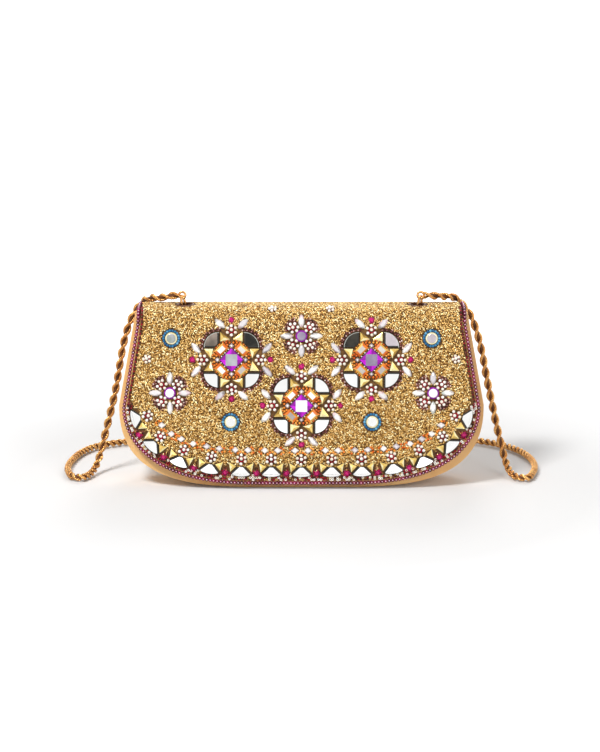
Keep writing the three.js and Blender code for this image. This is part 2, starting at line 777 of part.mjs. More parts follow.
function makeSnap() {
  const disc = (profile) => {
    const geometry = new THREE.LatheGeometry(profile.map(([r, h]) => new THREE.Vector2(r, h)), 12);
    geometry.rotateX(Math.PI / 2);
    return faceOut(weld(geometry));
  };
  const socket = disc([[0, 0], [snapRadius, 0], [snapRadius, snapSocketThickness - snapBevel],
    [snapRadius - snapBevel, snapSocketThickness], [snapSocketBore, snapSocketThickness],
    [snapSocketBore, snapSocketFloor], [0, snapSocketFloor]]);
  const outward = new THREE.Vector3(0, -Math.sin(foldSweep), Math.cos(foldSweep));
  const middle = new THREE.Vector3(0, faceY(snapHeight), snapHeight)
    .addScaledVector(outward, seat - panelSetback * faceCos);
  socket.rotateX(foldSweep);
  socket.translate(middle.x, middle.y, middle.z);
  place('snap_socket', socket, 'gold');
  const nubTip = -snapStudThickness - snapNubLength;
  const stud = disc([[0, 0], [0, nubTip], [snapNubRadius - snapNubTaper, nubTip],
    [snapNubRadius, -snapStudThickness], [snapRadius - snapBevel, -snapStudThickness],
    [snapRadius, 0], [0, 0]]);
  const under = clothThickness + seat + flapLiningThickness + seat;
  place('snap_stud', onFlap(stud, 0, snapHeight, 0, -under), 'gold');
}

// Mirrors and centre stones, each a piece of its own, glued to the beaded cloth

function makeMirrors() {
  medallionPlaces.forEach(([cx, cz], m) => {
    const gem = girdledStone(rectangle(centreStoneSide, centreStoneSide), centreStoneRise, squareTable);
    place(`centre_stone_${m + 1}`, onFlap(gem, cx, cz, Math.PI / 4, glueLine), 'purple');
    for (let q = 0; q < 4; q += 1) {
      const fan = onFlap(tile(fanOutline()), cx, cz, q * Math.PI / 2, glueLine);
      place(`mirror_fan_${m + 1}_${q + 1}`, fan, 'mirror');
    }
  });
  roundMirrorPlaces.forEach(([x, z], m) => {
    const disc = onFlap(tile(polygon(roundMirrorRadius, 10)), x, z, 0, glueLine);
    place(`round_mirror_${m + 1}`, disc, 'mirror');
  });
  const middle = (leafCount - 1) / 2;
  const [cornerX, cornerY] = leafOuterCorner;
  const leafShape = [[-leafHalf, leafTipHeight], [-cornerX, -cornerY], [0, -leafOuter], [cornerX, -cornerY],
    [leafHalf, leafTipHeight], [leafInnerHalf, leafInner], [-leafInnerHalf, leafInner]];
  for (let i = 0; i < leafCount; i += 1) {
    const spot = borderPlace((i - middle) * leafSpacing, leafInset);
    place(`mirror_leaf_${i + 1}`, onFlap(tile(leafShape), spot.x, spot.z, spot.turn, glueLine), 'mirror');
  }
}

// Chain strap: its route, from one jump ring round behind the bag to the other

const chainRoute = [
  [-84.2, 9.9, 128.2], [-90, 11.5, 127.6], [-97, 15.5, 125.6], [-103.6, 20, 124.4],
  [-109.4, 24.9, 121.2], [-115, 24.8, 114.4], [-119.8, 23.2, 104.5], [-123.4, 22, 92.5],
  [-126.1, 21.4, 78.5], [-128.6, 21, 64.5], [-131.6, 21, 50.5], [-135, 20.6, 37],
  [-138.2, 19.6, 24.5], [-141, 17.2, 13.4], [-143.8, 12, 5.8], [-146.8, 3.4, 3.3],
  [-151.8, -5.2, 3.1], [-158.2, -2.6, 3.1], [-162.2, 8, 3.1], [-164.2, 23, 3.1],
  [-162.8, 42, 3.1], [-158.2, 62, 3.1], [-148.6, 79, 3.1], [-130.4, 91, 3.1],
  [-100, 99, 3.1], [-64, 100, 3.1], [-28, 95, 3.1], [8, 92, 3.1], [44, 95, 3.1],
  [80, 101, 3.1], [108, 101.5, 3.1], [130.8, 94, 3.1], [147.4, 81, 3.1], [157.4, 66, 3.1],
  [163.2, 46, 3.1], [164.4, 26, 3.1], [161.6, 8.4, 3.1], [155.6, -6.4, 3.1], [148.2, -3, 3.3],
  [144.6, 6, 5.2], [142, 14.4, 12], [139, 19.2, 23.4], [136, 21, 35.6], [133.2, 21.2, 48.4],
  [130.4, 21.4, 61], [127.8, 21.6, 73.5], [125.4, 22, 86], [121.8, 22.8, 99.4],
  [117.6, 24.6, 110.4], [112.4, 25.2, 117.8], [106.2, 23.2, 123.8], [98.6, 17, 126],
  [90.4, 11.6, 127.6], [84.2, 9.9, 128.2],
].map(([x, y, z]) => new THREE.Vector3(x, y, z));

function makeChain() {
  const curve = new THREE.CatmullRomCurve3(chainRoute, false, 'centripetal');
  const length = curve.getLength();
  const steps = Math.round(length / chainPitch * chainStepsPerPitch);
  const section = rectangle(chainRadius * 2, chainLobeHalfThickness * 2);
  const normal = new THREE.Vector3(0, 1, 0);
  const rings = [];
  for (let i = 0; i <= steps; i += 1) {
    const share = i / steps;
    const point = curve.getPointAt(share);
    const tangent = curve.getTangentAt(share);
    normal.addScaledVector(tangent, -normal.dot(tangent)).normalize();
    const side = tangent.clone().cross(normal);
    const twist = 2 * Math.PI * length * share / chainPitch;
    const cos = Math.cos(twist);
    const sin = Math.sin(twist);
    rings.push(section.map(([a, b]) => point.clone()
      .addScaledVector(normal, a * cos - b * sin)
      .addScaledVector(side, a * sin + b * cos)));
  }
  place('chain_strap', loft(rings), 'gold');
}

makeFrontPanel();
makeBackPanel();
makeGusset();
makeLining();
makeRootStrip();
makeRootPiping();
makeStrapHardware();
makeChain();
makeFlap();
makeFlapLining();
makeFlapPiping();
makeMirrors();
makeSnap();

export default bag;
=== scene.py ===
# %% [markdown]
# # Evening clutch with a jewelled mirror-work flap
# The bag is a small leather pouch with a fold-over flap of beaded cloth and a rope chain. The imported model
# holds every piece at its real size and place. This lesson dresses it: each plain solid gets a finish, or a
# finer mesh takes its place. Loading the model first means that nothing has to be fitted afterwards.

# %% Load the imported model
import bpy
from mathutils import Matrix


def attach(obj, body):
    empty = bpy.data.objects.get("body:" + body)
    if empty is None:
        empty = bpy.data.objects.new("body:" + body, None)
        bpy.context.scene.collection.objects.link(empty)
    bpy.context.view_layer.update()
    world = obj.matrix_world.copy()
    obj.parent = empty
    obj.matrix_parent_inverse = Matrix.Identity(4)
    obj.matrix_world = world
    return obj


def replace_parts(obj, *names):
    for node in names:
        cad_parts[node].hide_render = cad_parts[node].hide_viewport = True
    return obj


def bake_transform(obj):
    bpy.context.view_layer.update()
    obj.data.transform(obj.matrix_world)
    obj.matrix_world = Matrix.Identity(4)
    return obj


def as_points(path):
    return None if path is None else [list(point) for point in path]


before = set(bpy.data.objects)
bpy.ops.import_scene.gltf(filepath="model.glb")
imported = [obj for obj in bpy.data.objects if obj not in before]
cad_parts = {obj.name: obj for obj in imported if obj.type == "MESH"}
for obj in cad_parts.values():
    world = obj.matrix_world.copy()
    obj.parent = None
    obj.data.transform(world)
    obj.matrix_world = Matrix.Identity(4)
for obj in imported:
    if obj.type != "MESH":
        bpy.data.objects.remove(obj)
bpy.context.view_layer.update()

# %% [markdown]
# Blender works in metres, and bag makers in millimetres. One factor keeps the numbers below readable.
# Random draws all come from one seeded generator, so that each run lays the same beads in the same places.

# %% Modules, the unit and the dice
import math

import bpy
import numpy as np
from mathutils import Vector

mm = 0.001
dice = np.random.default_rng(21)
print("one millimetre is", mm, "metres")

# %% [markdown]
# ## Camera
# The photo was taken from a little above the bag's middle with a long lens, so the sides hardly converge. A
# long lens far away does that. The picture's height is what the lens's angle is measured on here, because
# the picture is taller than it is wide.

# %% Place the camera
def add_object(name, data):
    made = bpy.data.objects.new(name, data)
    bpy.context.scene.collection.objects.link(made)
    return made


picture_height = 752
photo_pixel = 0.68 * mm
camera_distance = 1.5
camera_pitch = math.radians(13)
camera_target = Vector((-1.0, -14.0, 77.0)) * mm
look = Vector((0, math.cos(camera_pitch), -math.sin(camera_pitch)))

lens = bpy.data.cameras.new("photo_lens")
lens.sensor_width = 36
lens.lens = lens.sensor_width * camera_distance / photo_pixel / picture_height
lens.clip_end = 20
camera = add_object("photo_camera", lens)
camera.location = camera_target - look * camera_distance
camera.rotation_euler = look.to_track_quat("-Z", "Y").to_euler()
bpy.context.scene.camera = camera
print("lens", round(lens.lens, 1), "mm")

# %% [markdown]
# ## Two small helpers for meshes
# A piece is a mesh with a body to ride on and finishes to wear. Writing that once keeps every later cell
# short. The faces carry the number of their finish, so that one piece can hold a black rim and a bright top.

# %% Make a piece from corners and faces
def new_piece(name, corners, faces, finishes, body, looks=None, smooth=True):
    mesh = bpy.data.meshes.new(name)
    mesh.from_pydata(np.asarray(corners, float).tolist(), [], [list(map(int, f)) for f in faces])
    for finish in finishes:
        mesh.materials.append(finish)
    if looks is not None:
        mesh.polygons.foreach_set("material_index", np.asarray(looks, np.int32))
    mesh.polygons.foreach_set("use_smooth", np.full(len(mesh.polygons), smooth))
    mesh.validate()
    mesh.update()
    piece = add_object(name, mesh)
    if body:
        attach(piece, body)
    return piece


class Batch:
    """Collects small shapes, each a pair of corners and faces, and joins them into one piece."""

    def __init__(self):
        self.corners = []
        self.faces = []
        self.looks = []
        self.count = 0

    def add(self, corners, faces, looks=0):
        self.corners.append(corners)
        self.faces.extend([[k + self.count for k in face] for face in faces])
        self.looks.extend(looks if hasattr(looks, "__len__") else [looks] * len(faces))
        self.count += len(corners)

    def piece(self, name, finishes, body="flap", slot="beaded_cloth", nodes=(), smooth=False):
        made = new_piece(name, np.vstack(self.corners), self.faces, finishes, body, self.looks, smooth)
        if nodes:
            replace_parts(made, *nodes)
        print(name, len(self.faces), "faces")
        return made


# %% [markdown]
# ## Finishes
# Real surfaces are never one flat colour. Each finish here varies its colour with noise, or from bead to
# bead, and gets its feel from roughness and a fine bump. A value that is the same everywhere sits straight
# on the shader.

# %% Helpers that build a finish
def rgb(red, green, blue):
    """A screen colour from 0 to 255, as the linear colour that the shader works in."""
    def linear(value):
        value /= 255
        return value / 12.92 if value <= 0.04045 else ((value + 0.055) / 1.055) ** 2.4
    return (linear(red), linear(green), linear(blue), 1)


def add_node(tree, kind, *first, **named):
    """A new node. Unnamed values go to its inputs in order, and a name in small letters sets the node itself."""
    node = tree.nodes.new("ShaderNode" + kind)
    for key, value in [*enumerate(first), *named.items()]:
        if key in ("operation", "bands_direction"):
            setattr(node, key, value)
            continue
        socket = node.inputs[key.replace("_", " ") if isinstance(key, str) else key]
        if isinstance(value, bpy.types.NodeSocket):
            tree.links.new(value, socket)
        else:
            socket.default_value = value
    return node


def new_finish(name, roughness, metallic=0.0, **more):
    finish = bpy.data.materials.new(name)
    finish.use_nodes = True
    for socket, value in {"Roughness": roughness, "Metallic": metallic, **more}.items():
        finish.node_tree.nodes["Principled BSDF"].inputs[socket.replace("_", " ")].default_value = value
    return finish


def shade(finish, socket, output):
    finish.node_tree.links.new(output, finish.node_tree.nodes["Principled BSDF"].inputs[socket])


def ramp(finish, factor, stops):
    """Colours the finish by a factor between 0 and 1, through the stops given as (place, colour)."""
    node = add_node(finish.node_tree, "ValToRGB", factor)
    elements = node.color_ramp.elements
    elements[0].position, elements[1].position = stops[0][0], stops[-1][0]
    for place, _ in stops[1:-1]:
        elements.new(place)
    for element, (_, colour) in zip(elements, stops):
        element.color = rgb(*colour)
    shade(finish, "Base Color", node.outputs["Color"])


def noise(finish, scale, detail=3.0):
    place = add_node(finish.node_tree, "TexCoord")
    return add_node(finish.node_tree, "TexNoise", place.outputs["Object"], Scale=scale, Detail=detail).outputs["Fac"]


def bump(finish, height, strength, distance):
    node = add_node(finish.node_tree, "Bump", Strength=strength, Distance=distance, Height=height)
    shade(finish, "Normal", node.outputs["Normal"])


def by_piece(finish):
    """A number between 0 and 1 that differs from bead to bead within one mesh."""
    return finish.node_tree.nodes.new("ShaderNodeNewGeometry").outputs["Random Per Island"]


def grainy(name, dark, light, scale, roughness, metallic=0.0, grain=0.0, **more):
    """A finish whose colour drifts between two tones, with a bump of the same grain."""
    finish = new_finish(name, roughness, metallic, **more)
    ramp(finish, noise(finish, scale), [(0.35, dark), (0.65, light)])
    if grain:
        bump(finish, noise(finish, scale * 9, 4), 0.35, grain)
    return finish


def beaded(name, stops, roughness=0.25, metallic=0.0, **more):
    """A finish that gives each bead its own tone from the stops."""
    finish = new_finish(name, roughness, metallic, **more)
    ramp(finish, by_piece(finish), stops)
    return finish


print("finish helpers ready")

# %% [markdown]
# The leather is smooth calf with a satin coat, pale tan. Its colour drifts slowly over centimetres, and its
# pores are far below a millimetre, so two noises of very different scale make it.

# %% Leather and lining
leather = grainy("tan_calf_leather", (226, 168, 98), (240, 190, 122), 22, 0.4, grain=0.12 * mm,
                 Coat_Weight=0.25, Coat_Roughness=0.3)
twill = new_finish("lining_twill", 0.75, Sheen_Weight=0.2)
ramp(twill, noise(twill, 60), [(0.3, (196, 148, 92)), (0.7, (214, 168, 110))])
weave = add_node(twill.node_tree, "TexWave", add_node(twill.node_tree, "TexCoord").outputs["Object"], Scale=900,
                 Distortion=0.6, bands_direction="DIAGONAL")
bump(twill, weave.outputs["Fac"], 0.5, 0.15 * mm)
print("leather and lining")

# %% [markdown]
# Bugle beads are short glass tubes with a silvered bore, so they flash like metal but keep the glass's
# colour. The cloth below them is dark brown, partly its own colour and partly painted shade, and shows as the
# dark gaps. The chain and fittings are plated brass.

# %% Cloth, beads and metal
# The cloth's own brown is deepened into painted shade for the gaps between beads and round the stones.
cloth = grainy("brown_gold_cloth", (84, 54, 22), (122, 84, 40), 260, 0.85, grain=0.3 * mm)
bugle_gold = beaded("gold_bugle_beads", [(0.0, (126, 86, 36)), (0.25, (196, 150, 78)),
                                         (0.7, (226, 186, 112)), (1.0, (255, 240, 186))], 0.26, 0.5)
chain_gold = grainy("plated_chain_gold", (196, 138, 78), (232, 184, 116), 160, 0.24, 1.0, grain=0.02 * mm)
# Painted shade: the dark core inside the rope chain and the eyelets' bores wear this.
chain_shadow = grainy("painted_shade_dark_metal", (70, 36, 12), (104, 58, 22), 160, 0.5, 0.4)
# Eyelet rims: dark bronze, partly painted shade of the holes they ring.
eyelet_bronze_painted_shade = grainy("eyelet_bronze_with_painted_shade", (70, 38, 18), (110, 62, 30), 120, 0.4, 0.3)
fitting_gold = grainy("pale_fitting_gold", (196, 140, 84), (230, 184, 122), 90, 0.22, 1.0, grain=0.02 * mm)
magenta = beaded("magenta_seed_beads", [(0.0, (70, 2, 34)), (0.5, (112, 6, 56)), (1.0, (146, 14, 76))], 0.3,
                 Specular_IOR_Level=0.3)
# Pale dots that sit on the piping beads as painted highlights.
piping_highlight_dots = beaded("piping_dots_painted_highlight", [(0.0, (244, 178, 200)), (1.0, (255, 236, 242))])
garnet = beaded("garnet_seed_beads", [(0.0, (112, 4, 18)), (1.0, (176, 12, 44))], Specular_IOR_Level=0.35)
turquoise = beaded("turquoise_seed_beads", [(0.0, (24, 84, 128)), (0.6, (48, 122, 166)), (1.0, (104, 170, 204))],
                   Specular_IOR_Level=0.4)
brown_beads = beaded("brown_seed_beads", [(0.0, (52, 16, 16)), (0.6, (96, 38, 34)), (1.0, (160, 88, 74))],
                     metallic=0.2, Specular_IOR_Level=0.4)
mauve_beads = beaded("mauve_seed_beads", [(0.0, (116, 60, 66)), (0.5, (176, 122, 116)), (1.0, (240, 210, 200))],
                     metallic=0.2, Specular_IOR_Level=0.5)
tan_beads = beaded("tan_seed_beads", [(0.0, (96, 62, 26)), (0.5, (168, 122, 62)), (1.0, (222, 188, 124))],
                   metallic=0.3)
orange_beads = beaded("orange_seed_beads", [(0.0, (204, 84, 16)), (0.5, (234, 126, 34)), (1.0, (250, 178, 78))],
                      Specular_IOR_Level=0.4)
print("cloth, beads and metal")

# %% [markdown]
# The stones are cut glass with foil behind. Their facets carry painted reflection and painted shade, a fixed
# tone to each, so each stone has two or three finishes, and their tables are painted reflections. Mirrors are
# real silvered glass: they are white here because they reflect a white room. Two medallions have mirrors with
# painted dark reflections in their upper half.

# %% Stones, mirrors and pearls
# Purple: one copy in painted light, a deep one that is painted shade on facets, and a rim in painted shade.
purple = grainy("purple_facet_painted_light", (184, 6, 196), (206, 22, 220), 420, 0.2, Specular_IOR_Level=0.4)
deep_purple_and_painted_shade = grainy("deep_purple_with_painted_shade_facet", (128, 2, 142), (158, 6, 172), 420, 0.2, Specular_IOR_Level=0.4)
purple_rim_painted_shade = grainy("purple_rim_with_painted_shade", (66, 4, 62), (92, 10, 84), 420, 0.25)
# Stone tables are painted reflections: white, grey-green and grey-mauve.
table_painted_white_reflection = grainy("stone_table_with_painted_white_reflection", (240, 236, 246), (255, 253, 255), 130, 0.1, 0.3)
table_painted_green_reflection = grainy("stone_table_with_painted_grey_green_reflection", (150, 160, 152), (184, 182, 192), 150, 0.15, 0.2)
table_painted_mauve_reflection = grainy("stone_table_with_painted_grey_mauve_reflection", (138, 124, 150), (166, 152, 176), 150, 0.15, 0.2)
mirror = grainy("silvered_mirror", (246, 246, 244), (255, 255, 255), 60, 0.03, 1.0)
# Mirrors with painted reflections: dark, brown and pale.
mirror_painted_dark_reflection = grainy("mirror_with_painted_dark_reflection", (34, 34, 30), (78, 72, 62), 95, 0.1, 0.5)
mirror_painted_brown_reflection = grainy("mirror_with_painted_brown_reflection", (96, 88, 78), (178, 160, 148), 60, 0.1, 0.5)
mirror_painted_pale_reflection = grainy("mirror_with_painted_pale_reflection", (188, 178, 184), (222, 214, 218), 60, 0.1, 0.5)
black_edge = grainy("black_glass_edge", (14, 14, 10), (36, 34, 26), 200, 0.3)
silver_line = grainy("silver_edge_line", (186, 188, 178), (226, 226, 218), 200, 0.2, 0.6)
# Gilt facets: one copy in painted light, a middle tone and one in painted shade.
gilt_painted_light = grainy("gilt_facet_with_painted_light", (244, 226, 154), (255, 244, 196), 300, 0.2, 0.3)
gilt = grainy("gilt_facet", (214, 176, 88), (240, 208, 120), 300, 0.2, 0.3)
gilt_painted_shade = grainy("gilt_facet_with_painted_shade", (146, 112, 40), (186, 146, 62), 300, 0.2, 0.3)
# Amber facets: plain amber, a copy in painted light and one in painted shade; the table is a painted reflection.
amber = grainy("amber_facet", (214, 128, 26), (240, 168, 60), 260, 0.15, 0.1)
amber_painted_light = grainy("amber_facet_with_painted_light", (226, 176, 70), (250, 214, 122), 260, 0.15, 0.2)
amber_painted_shade = grainy("amber_facet_with_painted_shade", (196, 84, 12), (238, 136, 44), 260, 0.15, 0.1)
amber_table_painted_reflection = beaded("amber_table_with_painted_reflection", [(0.0, (150, 138, 136)), (0.45, (202, 194, 186)),
                                           (0.7, (244, 240, 232)), (1.0, (255, 252, 246))], 0.12, 0.2)
# Besides the clear tone, crystal facets take a painted grey reflection and a painted tinted reflection.
crystal = beaded("clear_crystal", [(0.0, (206, 200, 206)), (0.4, (236, 232, 232)), (1.0, (255, 253, 250))],
                 0.1, 0.2)
crystal_painted_grey_reflection = beaded("crystal_facet_with_painted_grey_reflection", [(0.0, (150, 144, 146)), (0.5, (184, 180, 178)),
                                             (1.0, (220, 214, 214))], 0.1, 0.2)
crystal_painted_tinted_reflection = beaded("crystal_facet_with_painted_tinted_reflection", [(0.0, (206, 178, 188)), (0.6, (232, 210, 214)),
                                               (1.0, (196, 214, 206))], 0.1, 0.2)
# A ruby's facets alternate between its hot pink and a copy in painted shade.
ruby = beaded("hot_pink_stone", [(0.0, (176, 6, 92)), (1.0, (206, 20, 118))], 0.15, Specular_IOR_Level=0.4)
ruby_painted_shade = beaded("pink_facet_with_painted_shade", [(0.0, (104, 2, 46)), (1.0, (140, 8, 70))], 0.15, Specular_IOR_Level=0.4)
pearl = beaded("white_pearl", [(0.0, (240, 228, 206)), (1.0, (255, 253, 248))])
cream = grainy("cream_mirror_rim", (226, 212, 158), (248, 240, 204), 300, 0.3)
print("stones, mirrors and pearls")

# %% [markdown]
# ## The rope chain
# The strap is a rope chain: oval links joined into two strands that twist about each other, which gives the
# lobes; the dark gap in each is painted shade, a dark core tube inside the rope. Its route is a line of given
# points, from one ring, down beside the bag, round a loop on the floor, behind the bag and up the other side. A
# tube would have the right path but no links, so small wire ovals are set along two helices instead.

# %% The route of the chain
chain_route = np.array([
    (-84.2, 9.9, 128.2), (-90, 11.5, 127.6), (-97, 15.5, 125.6), (-103.6, 20, 124.4),
    (-109.4, 24.9, 121.2), (-115, 24.8, 114.4), (-119.8, 23.2, 104.5), (-123.4, 22, 92.5),
    (-126.1, 21.4, 78.5), (-128.6, 21, 64.5), (-131.6, 21, 50.5), (-135, 20.6, 37),
    (-138.2, 19.6, 24.5), (-141, 17.2, 13.4), (-143.8, 12, 5.8), (-146.8, 3.4, 3.3),
    (-151.8, -5.2, 3.1), (-158.2, -2.6, 3.1), (-162.2, 8, 3.1), (-164.2, 23, 3.1),
    (-162.8, 42, 3.1), (-158.2, 62, 3.1), (-148.6, 79, 3.1), (-130.4, 91, 3.1),
    (-100, 99, 3.1), (-64, 100, 3.1), (-28, 95, 3.1), (8, 92, 3.1), (44, 95, 3.1),
    (80, 101, 3.1), (108, 101.5, 3.1), (130.8, 94, 3.1), (147.4, 81, 3.1), (157.4, 66, 3.1),
    (163.2, 46, 3.1), (164.4, 26, 3.1), (161.6, 8.4, 3.1), (155.6, -6.4, 3.1), (148.2, -3, 3.3),
    (144.6, 6, 5.2), (142, 14.4, 12), (139, 19.2, 23.4), (136, 21, 35.6), (133.2, 21.2, 48.4),
    (130.4, 21.4, 61), (127.8, 21.6, 73.5), (125.4, 22, 86), (121.8, 22.8, 99.4),
    (117.6, 24.6, 110.4), (112.4, 25.2, 117.8), (106.2, 23.2, 123.8), (98.6, 17, 126),
    (90.4, 11.6, 127.6), (84.2, 9.9, 128.2),
]) * mm


def between(a, b, start, end, now):
    return ((end - now) * a + (now - start) * b) / (end - start)


def curve_place(a, b, c, d, share):
    """A place between b and c on the centripetal curve through four points."""
    at_b = np.linalg.norm(b - a) ** 0.5
    at_c = at_b + np.linalg.norm(c - b) ** 0.5
    at_d = at_c + np.linalg.norm(d - c) ** 0.5
    now = at_b + (at_c - at_b) * share
    ab, bc, cd = between(a, b, 0, at_b, now), between(b, c, at_b, at_c, now), between(c, d, at_c, at_d, now)
    return between(between(ab, bc, 0, at_c, now), between(bc, cd, at_b, at_d, now), at_b, at_c, now)


def smooth_line(points, step):
    points = np.vstack([2 * points[0] - points[1], points, 2 * points[-1] - points[-2]])
    fine = [curve_place(*points[i:i + 4], share) for i in range(len(points) - 3)
            for share in np.linspace(0, 1, 12, endpoint=False)]
    return even_line(np.array(fine + [points[-2]]), step)


def unit(arrows):
    """The same directions, each of length one."""
    return arrows / np.linalg.norm(arrows, axis=-1, keepdims=True)


def run_along(line):
    """How far along the line each of its places lies."""
    return np.concatenate([[0], np.cumsum(np.linalg.norm(np.diff(line, axis=0), axis=1))])


def even_line(line, step, *carried):
    """The line at even steps, its directions and its length, and whatever else is carried along it."""
    run = run_along(line)
    at = np.linspace(0, run[-1], max(2, int(round(run[-1] / step))) + 1)
    places, *others = [np.stack([np.interp(at, run, values[:, k]) for k in range(3)], 1)
                       for values in (line, *carried)]
    return places, unit(np.gradient(places, axis=0)), run[-1], *others


def side_frames(along, first):
    """Two directions square to the line at each place, turned as little as possible from one to the next."""
    normals = []
    normal = np.array(first, float)
    for direction in along:
        normal = unit(normal - direction * normal.dot(direction))
        normals.append(normal)
    normals = np.array(normals)
    return normals, np.cross(along, normals)


chain_places, chain_along, chain_length = smooth_line(chain_route, 0.5 * mm)
print("chain length", round(chain_length, 4), "m")

# %% [markdown]
# Each strand keeps to its own helix, half a turn from the other. Where the chain hangs, the helix is long and
# opens into eyes; on the floor the chain slackens and its turns close up. A link is an oval of wire that stands
# on the rope and slants across its strand, so that a row of them reads as twisted cord.

# %% Set the links along two helices
hanging_pitch, floor_pitch = 17 * mm, 10 * mm
hanging_out, floor_out = 1.8 * mm, 1.5 * mm
link_step = 1.15 * mm
link_long, link_deep, link_wire = 1.55 * mm, 0.6 * mm, 0.42 * mm
link_slant = math.radians(30)
core_radius = 1.25 * mm


def stack(rings, looks, foot=None):
    """A closed shape through rings of corners. Looks go to each band, or each side of it, and to the table."""
    count = len(rings[0])
    faces, face_looks = [], []
    for level, look in enumerate(looks[:len(rings) - 1]):
        low, high = level * count, (level + 1) * count
        faces += [(low + i, low + (i + 1) % count, high + (i + 1) % count, high + i) for i in range(count)]
        face_looks += look if isinstance(look, list) else [look] * count
    top = (len(rings) - 1) * count
    faces += [tuple(range(top, top + count)), tuple(range(count))[::-1]]
    return np.vstack(rings), faces, face_looks + [looks[-1], looks[0] if foot is None else foot]


def polygon(radius, sides, start=0.0):
    """Corners of an even polygon, which with many sides is a circle."""
    turns = start + np.arange(sides) * 2 * math.pi / sides
    return np.stack([radius * np.cos(turns), radius * np.sin(turns)], 1)


def oval_ring(long_half, wide_half, wire, steps, sides):
    """An oval ring of wire in its own x and y, as corners and faces."""
    circle = np.column_stack([polygon(1, steps), np.zeros(steps)])
    halves = np.array((long_half, wide_half, 1))
    corners = [middle + wire * (out * across + np.array([0, 0, up]))
               for middle, out in zip(circle * halves, unit(circle / halves)) for across, up in polygon(1, sides)]
    faces = [(i * sides + j, (i + 1) % steps * sides + j, (i + 1) % steps * sides + (j + 1) % sides,
              i * sides + (j + 1) % sides) for i in range(steps) for j in range(sides)]
    return np.array(corners), faces


def tube(places, along, radius, sides, look):
    """A round bar along a line, closed at both ends."""
    normals, across = side_frames(along, (0, 0, 1))
    circle = polygon(radius, sides)
    rings = [place + circle[:, :1] * normal + circle[:, 1:] * side
             for place, normal, side in zip(places, normals, across)]
    return stack(rings, [look] * len(rings))


def build_chain():
    links = Batch()
    ring, ring_faces = oval_ring(link_long, link_deep, link_wire, 10, 5)
    normals, across = side_frames(chain_along, (0, 1, 0))
    hanging = np.clip((chain_places[:, 2] - 5 * mm) / (12 * mm), 0, 1)
    pitch = floor_pitch + (hanging_pitch - floor_pitch) * hanging
    reach = (floor_out + (hanging_out - floor_out) * hanging)[:, None]
    twist = np.cumsum(2 * math.pi / pitch) * chain_length / len(chain_places)
    for phase in (0, math.pi):
        out = normals * np.cos(twist + phase)[:, None] + across * np.sin(twist + phase)[:, None]
        strand, strand_along, _, strand_out = even_line(chain_places + reach * out, link_step, out)
        for spot, direction, outward in zip(strand, strand_along, strand_out):
            side = unit(np.cross(outward, direction))
            long_axis = direction * math.cos(link_slant) + side * math.sin(link_slant)
            deep_axis = unit(np.cross(long_axis, np.cross(outward, long_axis)))
            basis = np.stack([long_axis, deep_axis, np.cross(long_axis, deep_axis)])
            links.add(ring @ basis + spot, ring_faces)
    # A dark core tube inside the rope is painted shade in the gaps between the lobes.
    links.add(*tube(chain_places[::6], chain_along[::6], core_radius, 8, look=1))
    return links.piece("rope_chain", [chain_gold, chain_shadow], "bag", "gold_metal", ["chain_strap"], smooth=True)


rope_chain = build_chain()
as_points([tuple(p) for p in chain_places[::4]] + [tuple(chain_places[-1])])

# %% [markdown]
# ## The bag's outline and the flap's surface
# The body and the flap share one outline: a flat under the base, a soft corner and a straight side. The flap
# starts level at its hinge line, rolls over a fold of 11 mm and hangs down a face that leans by 8 degrees. A
# stone is easiest to cut flat, so one function lays any flat shape on that rolled surface.

# %% Outline of body and flap
bag_height = 121.5 * mm
shoulder_height = 56 * mm
base_flat = 35 * mm
side_top = 116 * mm
body_top, body_shoulder = 113.6 * mm, 124.6 * mm
body_pulls = (52 * mm, 46 * mm)
flap_top, flap_shoulder = 109.2 * mm, 119.1 * mm
flap_pulls = (74 * mm, 14 * mm)
flap_bottom = 6 * mm
corner_belly = 1 * mm
leather_thick = 1.6 * mm
gusset_thick = 1.8 * mm
panel_setback = 5.4 * mm
back_top_y = 18.6 * mm
seat = 0.3 * mm


def bezier(ends, steps):
    """Places along the curve that four points pull."""
    t = np.linspace(0, 1, steps + 1)[:, None]
    a, b, c, d = (np.array(point) for point in ends)
    return (1 - t) ** 3 * a + 3 * (1 - t) ** 2 * t * b + 3 * (1 - t) * t ** 2 * c + t ** 3 * d


def half_outline(bottom, shoulder, top_x, top_z, pulls, inset):
    """Right half of an outline as x and z, from the middle of the base to the top, moved inwards by the inset."""
    base_pull, side_pull = pulls
    corner = bezier(((base_flat, bottom), (base_flat + base_pull, bottom),
                     (shoulder + corner_belly, shoulder_height - side_pull), (shoulder, shoulder_height)), 40)
    side = corner[-1] + np.linspace(0, 1, 17)[1:, None] * ((top_x, top_z) - corner[-1])
    flat = np.linspace(0, base_flat, 6)[:-1]
    line = np.vstack([np.stack([flat, 0 * flat + bottom], 1), corner, side])
    along = np.gradient(line, axis=0)
    along[0] = (1, 0)
    along = unit(along)
    moved = line + inset * np.stack([-along[:, 1], along[:, 0]], 1)
    moved[-1] = (line[-1, 0] - inset / along[-1, 1], line[-1, 1])
    return moved


def body_half(inset, top):
    spread = (body_shoulder - body_top) / (side_top - shoulder_height)
    top_x = body_shoulder - (top - shoulder_height) * spread
    return half_outline(0, body_shoulder, top_x, top, body_pulls, inset)


def both_halves(right):
    """The whole outline, from the top left round the base to the top right."""
    return np.vstack([right[:0:-1] * (-1, 1), right])


print("body", round(body_half(0, side_top)[:, 0].max() * 2 / mm, 1), "mm wide")

